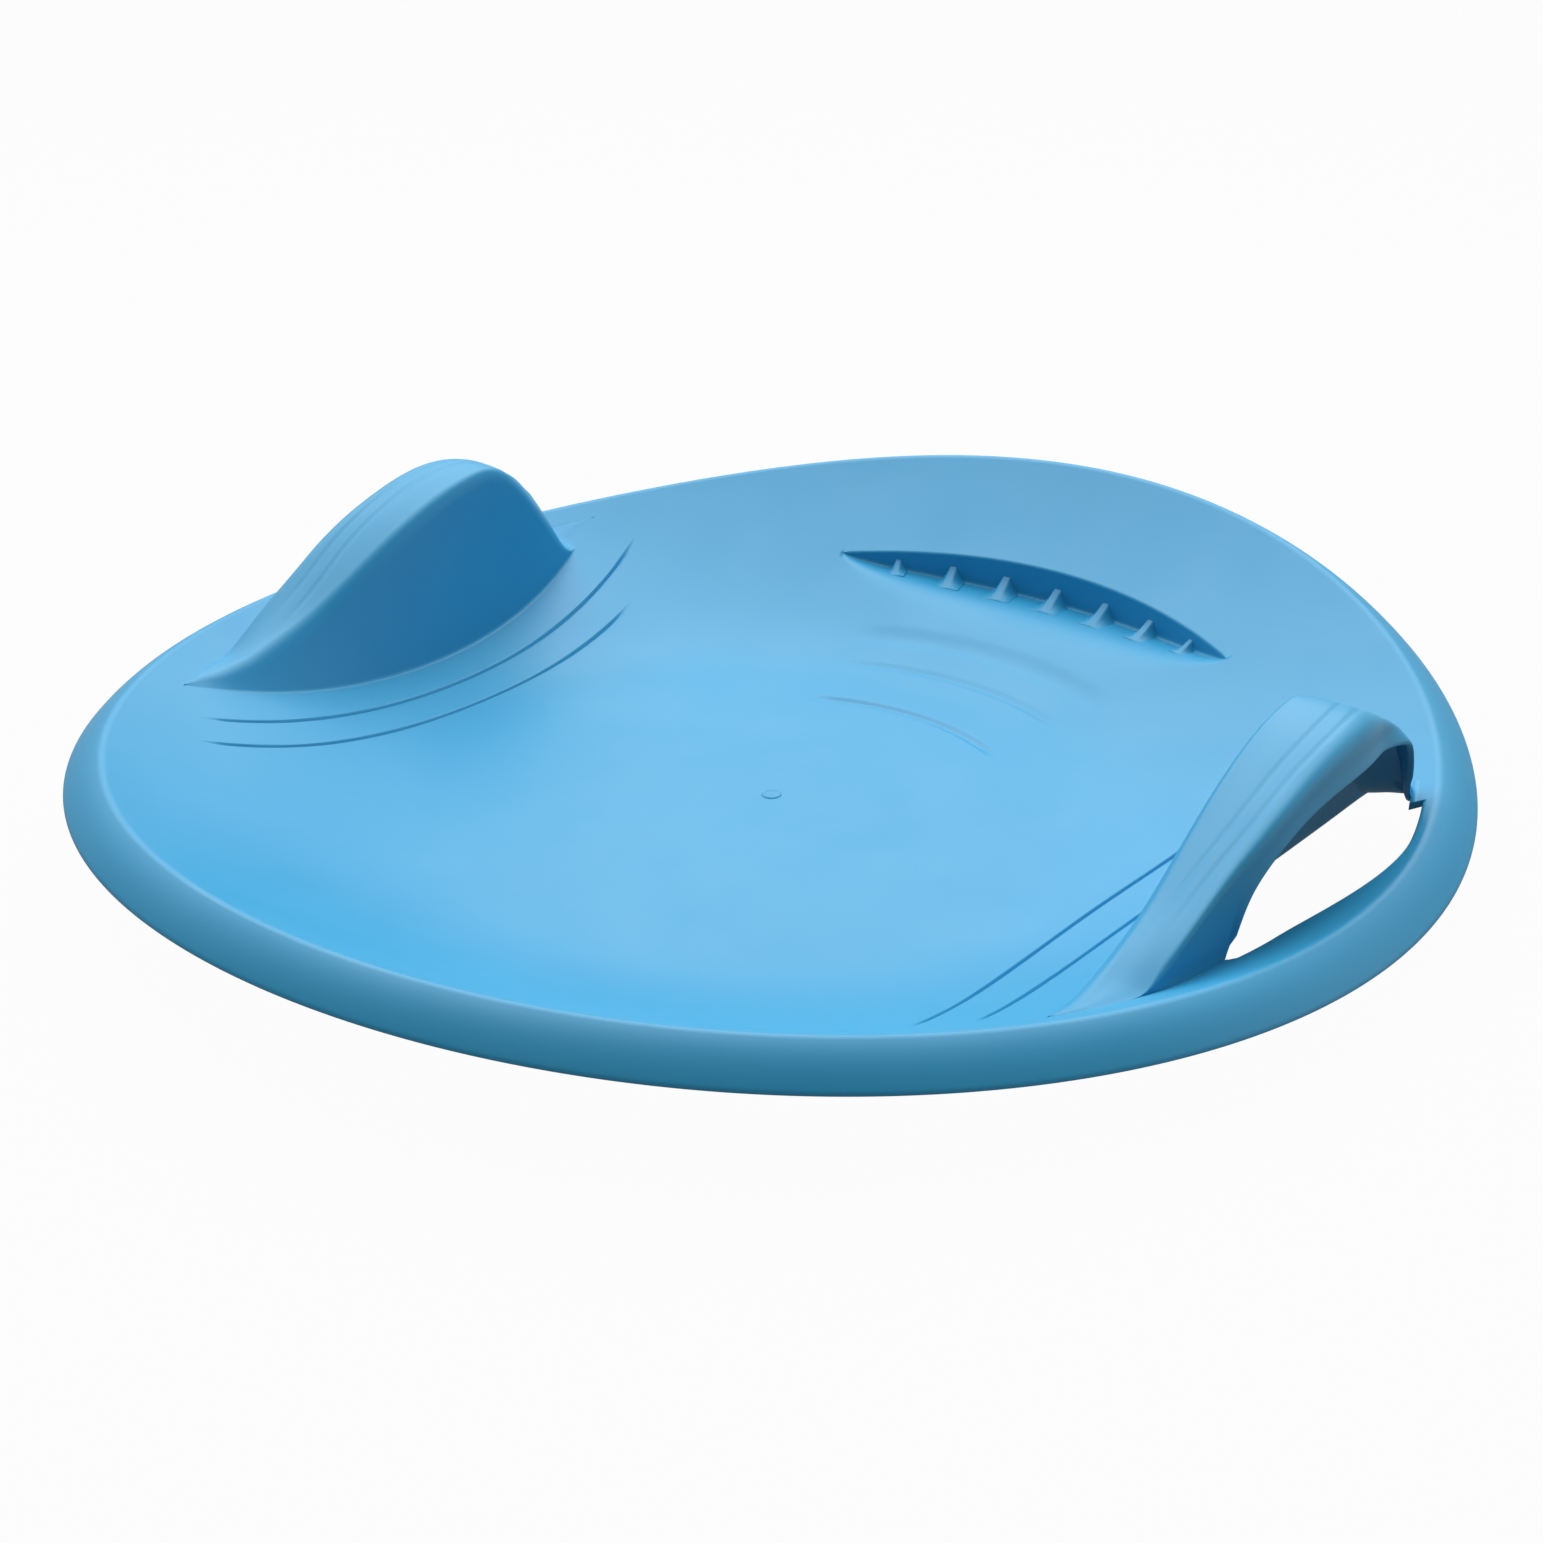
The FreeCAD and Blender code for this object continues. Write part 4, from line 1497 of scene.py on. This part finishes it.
class SLED_OT_gussets(bpy.types.Operator):
    """Make the row of gussets in the foot rest"""

    bl_idname = "sled.gussets"
    bl_label = "Gussets"

    def execute(self, context):
        rest = sled().foot_rest
        places = np.arange(rest.gusset_count) - (rest.gusset_count - 1) / 2
        angles = places * rest.gusset_pitch
        room = np.minimum(step_height(angles) / (rest.gusset_room * rest.gusset_height), 1.0)
        grow = rest.least_gusset + (1 - rest.least_gusset) * room
        level = smooth_face(*in_plan(rest.wall_radius - rest.gusset_length / 2, angles))
        seats = bpy.data.meshes.new("gusset_seats")
        seats.from_pydata(stacked(*in_plan(rest.wall_radius, angles), level).tolist(), [], [])
        for name, values in (("turn", math.pi / 2 - angles), ("grow", grow)):
            attribute = seats.attributes.new(name, "FLOAT", "POINT")
            attribute.data.foreach_set("value", values.astype(np.float32))
        maker = new_object("gusset_maker", seats)
        tree = gusset_tree()
        modifier = maker.modifiers.new("row", "NODES")
        modifier.node_group = tree
        sockets = {item.name: item.identifier for item in tree.interface.items_tree}
        sizes = (rest.gusset_length, rest.gusset_height, rest.gusset_spread, rest.gusset_sink)
        for name, value in zip(GUSSET_INPUTS, sizes):
            modifier[sockets[name]] = value
        modifier[sockets["Plastic"]] = plastic()
        made = maker.evaluated_get(context.evaluated_depsgraph_get())
        mesh = bpy.data.meshes.new_from_object(made)
        mesh.name = "foot_rest_gussets"
        bpy.data.objects.remove(maker)
        add_piece("foot_rest_gussets", mesh, "foot_rest_teeth")
        return {"FINISHED"}


# Studio

def floor_paint():
    """White floor paint that shows as plain white and still takes the sled's shadow."""
    studio = sled().studio
    material = bpy.data.materials.new("studio_floor_paint")
    material.use_nodes = True
    tree = material.node_tree
    tree.nodes.clear()
    paint = new_node(tree, "ShaderNodeBsdfDiffuse", {"Color": (*studio.floor_colour, 1.0)})
    white = new_node(tree, "ShaderNodeEmission", {"Color": WHITE})
    light_path = new_node(tree, "ShaderNodeLightPath").outputs
    reflected = calculated(tree, "MAXIMUM", light_path["Is Glossy Ray"], light_path["Is Transmission Ray"])
    seen = calculated(tree, "MULTIPLY", light_path["Is Camera Ray"], studio.floor_white)
    in_reflections = calculated(tree, "MULTIPLY", reflected, studio.floor_reflected)
    share = calculated(tree, "MAXIMUM", seen, in_reflections)
    inputs = {"Fac": share, 1: paint.outputs["BSDF"], 2: white.outputs["Emission"]}
    mix = new_node(tree, "ShaderNodeMixShader", inputs)
    new_node(tree, "ShaderNodeOutputMaterial", {"Surface": mix.outputs["Shader"]})
    return material


def add_floor():
    """A wide round floor that curves up at its edge."""
    turn_up = np.linspace(0.1, math.pi / 2, 12)
    radii = np.concatenate([FLOOR_RINGS, FLOOR_RINGS[-1] + FLOOR_CURVE * np.sin(turn_up)])
    heights = np.concatenate([np.zeros(len(FLOOR_RINGS)), FLOOR_CURVE * (1 - np.cos(turn_up))])
    angles = full_turn(97)
    x, y = plan_points(angles, repeated(radii, angles))
    points = stacked(x, y, repeated(heights, angles) - FLOOR_GAP)
    under = points - np.array([0.0, 0.0, FLOOR_THICKNESS])
    skins = (points, under, plain_normals(points), np.zeros_like(points))
    mesh = shell_mesh("studio_floor", skins, grid_faces(*x.shape))
    floor = new_object("studio_floor", mesh)
    mesh.materials.append(floor_paint())


def from_angles(azimuth, elevation):
    """Direction from the sled, with azimuth 0 at its rear and 90 degrees at its right."""
    flat = math.cos(elevation)
    return Vector((math.sin(azimuth) * flat, -math.cos(azimuth) * flat, math.sin(elevation)))


def aimed_object(name, data, direction, place):
    """A light or a camera at a place, which looks back along a direction."""
    made = new_object(name, data)
    made.location = place
    made.rotation_mode = "QUATERNION"
    made.rotation_quaternion = direction.to_track_quat("Z", "Y")
    return made


def add_soft_light(name, power, side, azimuth, elevation, distance):
    """A square soft light that points at the sled."""
    lamp = bpy.data.lights.new(name, "AREA")
    lamp.energy = power
    lamp.size = side
    direction = from_angles(azimuth, elevation)
    aimed_object(name, lamp, direction, direction * distance)


def add_surroundings():
    """Soft surroundings, brighter behind the sled and dimmer on the near side."""
    studio = sled().studio
    world = bpy.data.worlds.new("studio_surroundings")
    world.use_nodes = True
    bpy.context.scene.world = world
    tree = world.node_tree
    background = tree.nodes["Background"]
    seen = new_node(tree, "ShaderNodeTexCoord").outputs["Generated"]
    bright = from_angles(studio.dome_azimuth, studio.dome_elevation)
    toward = new_node(tree, "ShaderNodeVectorMath", {0: seen, 1: bright}, operation="DOT_PRODUCT")
    limits = (DOME_START, DOME_END, studio.dome_dim, studio.dome_bright)
    strength = ranged(tree, toward.outputs["Value"], *limits, interpolation_type="SMOOTHSTEP")
    feed(tree, background.inputs["Strength"], strength)
    feed(tree, background.inputs["Color"], WHITE)


def add_camera():
    """A camera at the photograph's viewing angle."""
    studio = sled().studio
    lens = bpy.data.cameras.new("camera")
    lens.lens = studio.lens
    lens.sensor_width = SENSOR_WIDTH
    lens.shift_y = studio.rise
    direction = from_angles(studio.azimuth, studio.elevation)
    place = direction * studio.distance + Vector((0.0, 0.0, studio.aim_height))
    bpy.context.scene.camera = aimed_object("camera", lens, direction, place)


class SLED_OT_stage(bpy.types.Operator):
    """Make the studio: floor, surroundings, soft light and camera"""

    bl_idname = "sled.stage"
    bl_label = "Studio"

    def execute(self, context):
        studio = sled().studio
        context.scene.view_settings.view_transform = "Standard"
        add_floor()
        add_surroundings()
        for light in ("key", "fill"):
            values = ("power", "size", "azimuth", "elevation", "distance")
            add_soft_light(f"{light}_light", *(getattr(studio, f"{light}_{value}") for value in values))
        add_camera()
        return {"FINISHED"}


MAKERS = (
    SLED_OT_floor, SLED_OT_gate_mark, SLED_OT_front_bowl, SLED_OT_rear_bowl, SLED_OT_side_bowls,
    SLED_OT_rims, SLED_OT_rails, SLED_OT_handles, SLED_OT_foot_rest, SLED_OT_gussets, SLED_OT_stage,
)


class SLED_PT_panel(bpy.types.Panel):
    """Sled settings and makers"""

    bl_idname = "SLED_PT_panel"
    bl_label = "Saucer sled"
    bl_space_type = "VIEW_3D"
    bl_region_type = "UI"
    bl_category = "Sled"

    def draw(self, context):
        for group_name in SledSettings.__annotations__:
            group = getattr(context.scene.sled, group_name)
            box = self.layout.box()
            box.label(text=group_name.replace("_", " ").capitalize())
            for setting in group.__annotations__:
                box.prop(group, setting, text=setting.replace("_", " ").capitalize())
        for maker in MAKERS:
            self.layout.operator(maker.bl_idname)


CLASSES = (
    SaucerSizes, ReliefSizes, HandleSizes, HandHoleSizes, FootRestSizes, PlasticFinish, StudioSettings,
    SledSettings, *MAKERS, SLED_PT_panel,
)


def register():
    for item in CLASSES:
        bpy.utils.register_class(item)
    bpy.types.Scene.sled = PointerProperty(type=SledSettings)


def unregister():
    del bpy.types.Scene.sled
    for item in reversed(CLASSES):
        bpy.utils.unregister_class(item)


def main():
    """Build the sled and its studio."""
    register()
    for maker in MAKERS:
        group, name = maker.bl_idname.split(".")
        getattr(getattr(bpy.ops, group), name)()


if __name__ == "__main__":
    main()
